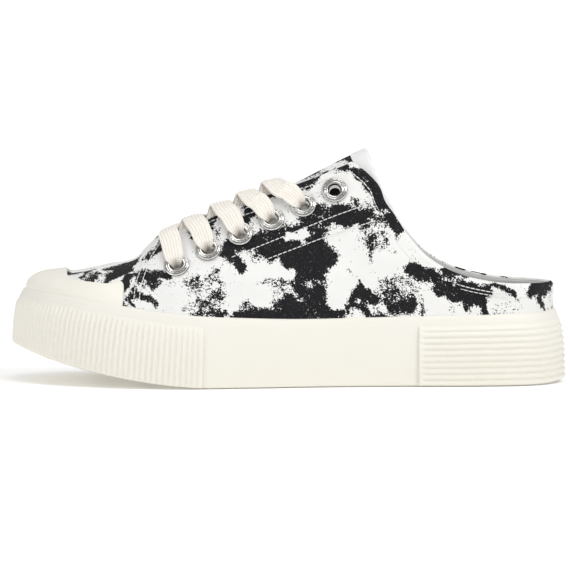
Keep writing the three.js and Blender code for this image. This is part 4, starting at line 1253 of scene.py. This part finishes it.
def stitch_row(line, normals):
    """Corners of the stitches along a line of surface points, stitch after stitch."""
    run = run_along(line)
    starts = np.arange(0.3, run[-1] - STITCH, STITCH + STITCH_GAP)
    at = lambda v, s: np.stack([np.interp(s, run, v[:, i]) for i in range(3)], -1)
    a, b = at(line, starts), at(line, starts + STITCH)
    up = unit(at(normals, starts + STITCH / 2))
    way = unit(b - a)
    aside = np.cross(up, way)
    turn = np.linspace(0, math.tau, STITCH_SIDES, endpoint=False)[:, None]
    points = []
    for i in range(len(starts)):
        round_it = np.cos(turn) * aside[i] + np.sin(turn) * up[i]
        for place, size, rise in STITCH_RINGS:
            middle = (a[i] + b[i]) / 2 + way[i] * place * STITCH / 2 + up[i] * (rise + 0.05)
            points.append(middle + STITCH_RADIUS * size * round_it)
    return points


def on_cloth(x, other, side, out, axis=1):
    """A line on the cloth with its swells, and the directions out of it."""
    point, normal = on_form(x, other, np.full(len(x), float(side)), out, axis)
    return point + normal * relief(point)[:, None], normal


def on_side(rows, side, out, count=60):
    """A smooth line given in side view, laid on one side of the form."""
    return on_cloth(*spline(rows, count).T, side, out, axis=2)


def beside_throat(first, last, extra, side, out):
    """A line along the throat's edge, extra outside it in plan."""
    x = np.linspace(first, last, 90)
    return on_cloth(x, throat_middle(x) + side * (throat_half(x) + extra), side, out)


def shifted(line, distance):
    """A side-view line moved to its left by a distance."""
    tangent = unit(np.gradient(line, axis=0))
    return line + np.stack([-tangent[:, 1], tangent[:, 0]], -1) * distance


def upper_stitches():
    """Rows along the quarter's front, the throat, both seams, the collar and the flap's corner."""
    lines = []
    on_quarter = QUARTER_STEP + 0.02
    front = [(along(at), height * SIDE_HEIGHT) for at, height in QUARTER_EDGE[:3]] + [(75.6, 42.0)]
    corner = [(-19.0, 101.0), (-27.0, 101.6), (-34.5, 97.5), (-40.0, 90.0), (-42.5, 83.5)]
    for side in (OUTER, INNER):
        for inset in (2.4, 5.0):
            rows = shifted(spline(front, 40), -inset)
            lines.append(on_side(rows[(rows[:, 1] > 39.5) & (rows[:, 1] < 69.5)], side, on_quarter))
        for first, last, extra in ((60.0, -24.0, 1.9), (58.0, -22.0, 4.3)):
            lines.append(beside_throat(first, last, extra, side, on_quarter))
        lines += [on_side(seam, side, on_quarter) for seam in SEAMS]
        for inset, out in ((BAND_WIDTH + 1.3, on_quarter), (BAND_WIDTH - 0.3, QUARTER_STEP + 0.77)):
            rows = shifted(TOP_EDGE[1:-1], inset)
            lines.append(on_side(rows[(rows[:, 0] > -122.0) & (rows[:, 1] > 38)], side, out, 110))
        lines.append(on_side(corner, side, on_quarter))
    rings = [ring for line in lines for ring in stitch_row(*line)]
    points, per = np.concatenate(rings), len(STITCH_RINGS) * STITCH_SIDES
    base = loop_faces(len(STITCH_RINGS), STITCH_SIDES, closed=False)
    faces = [np.concatenate([part + first for first in range(0, len(points), per)]) for part in base]
    make_piece(
        "upper_stitches", points, faces, [THREAD_MAT], data={"thread": points[:, :2]},
        replaces=["upper"],
    )


upper_stitches()


# Floor, light, camera

def stage_material(name, color, roughness):
    """White that glows, brighter away from the shoe: painted light."""
    paint = Paint(name, color, roughness)
    paint.use("Base Color", paint.blend(paint.noise(3.0, 2), color, tone(color, 0.995)))
    # Painted light: the floor glows white. The glow rises from strength 0.2 near the shoe to 0.5 at 0.9 m
    # away, so the far floor stays white.
    paint.shader.inputs["Emission Color"].default_value = (1, 1, 1, 1)
    far = paint.value("ShaderNodeVectorMath", {0: paint.place}, "Value", operation="LENGTH")
    paint.use("Emission Strength", far.step(0.2, 0.9, 0.2, 0.5))
    return paint.material


floor_mesh = bpy.data.meshes.new("floor")
floor_mesh.from_pydata([(-9, -9, 0), (9, -9, 0), (9, 9, 0), (-9, 9, 0)], [], [(0, 1, 2, 3)])
floor_mesh.materials.append(stage_material("floor_white", (0.93, 0.93, 0.93), 0.7))
floor = in_scene("floor", floor_mesh)


def area_light(name, place, height, size, power):
    """A round light aimed at a height over the origin."""
    data = bpy.data.lights.new(name, "AREA")
    data.shape, data.size, data.energy = "DISK", size, power
    obj = in_scene(name, data)
    obj.location = place
    obj.rotation_mode = "QUATERNION"
    obj.rotation_quaternion = (Vector((0, 0, height)) - Vector(place)).to_track_quat("-Z", "Y")


area_light("light_key", (-1.1, 0.95, 1.35), 0.04, 0.6, 9.5)
area_light("light_fill", (1.3, 1.2, 0.8), 0.05, 0.9, 4.0)
area_light("light_top", (-0.1, 0.45, 1.9), 0.04, 1.0, 9.0)

# The world lights the shoe less than it shows to the camera
WORLD_LIGHT, WORLD_SHOWN = 0.58, 1.0
world = bpy.data.worlds.new("studio")
bpy.context.scene.world = world
world.use_nodes = True
sky = world.node_tree
background = sky.nodes["Background"]
path = sky.nodes.new("ShaderNodeLightPath")
pick = sky.nodes.new("ShaderNodeMapRange")
pick.inputs["To Min"].default_value = WORLD_LIGHT
pick.inputs["To Max"].default_value = WORLD_SHOWN
sky.links.new(path.outputs["Is Camera Ray"], pick.inputs["Value"])
sky.links.new(pick.outputs[0], background.inputs["Strength"])
background.inputs["Color"].default_value = (1, 1, 1, 1)
bpy.context.scene.view_settings.view_transform = "Standard"

CAMERA_FAR, CAMERA_TILT, VIEW_WIDTH, SENSOR = 2.6, math.radians(4.2), 0.2765, 36
AIM = Vector((0.0006, 0, 0.0456))
towards = Vector((0, math.cos(CAMERA_TILT), math.sin(CAMERA_TILT)))
camera_data = bpy.data.cameras.new("camera")
camera = in_scene("camera", camera_data)
camera.location = AIM + CAMERA_FAR * towards
camera.rotation_mode = "QUATERNION"
camera.rotation_quaternion = (-towards).to_track_quat("-Z", "Y")
camera_data.sensor_width = SENSOR
camera_data.lens = SENSOR * CAMERA_FAR / VIEW_WIDTH
camera_data.clip_start, camera_data.clip_end = 0.05, 50
bpy.context.scene.camera = camera
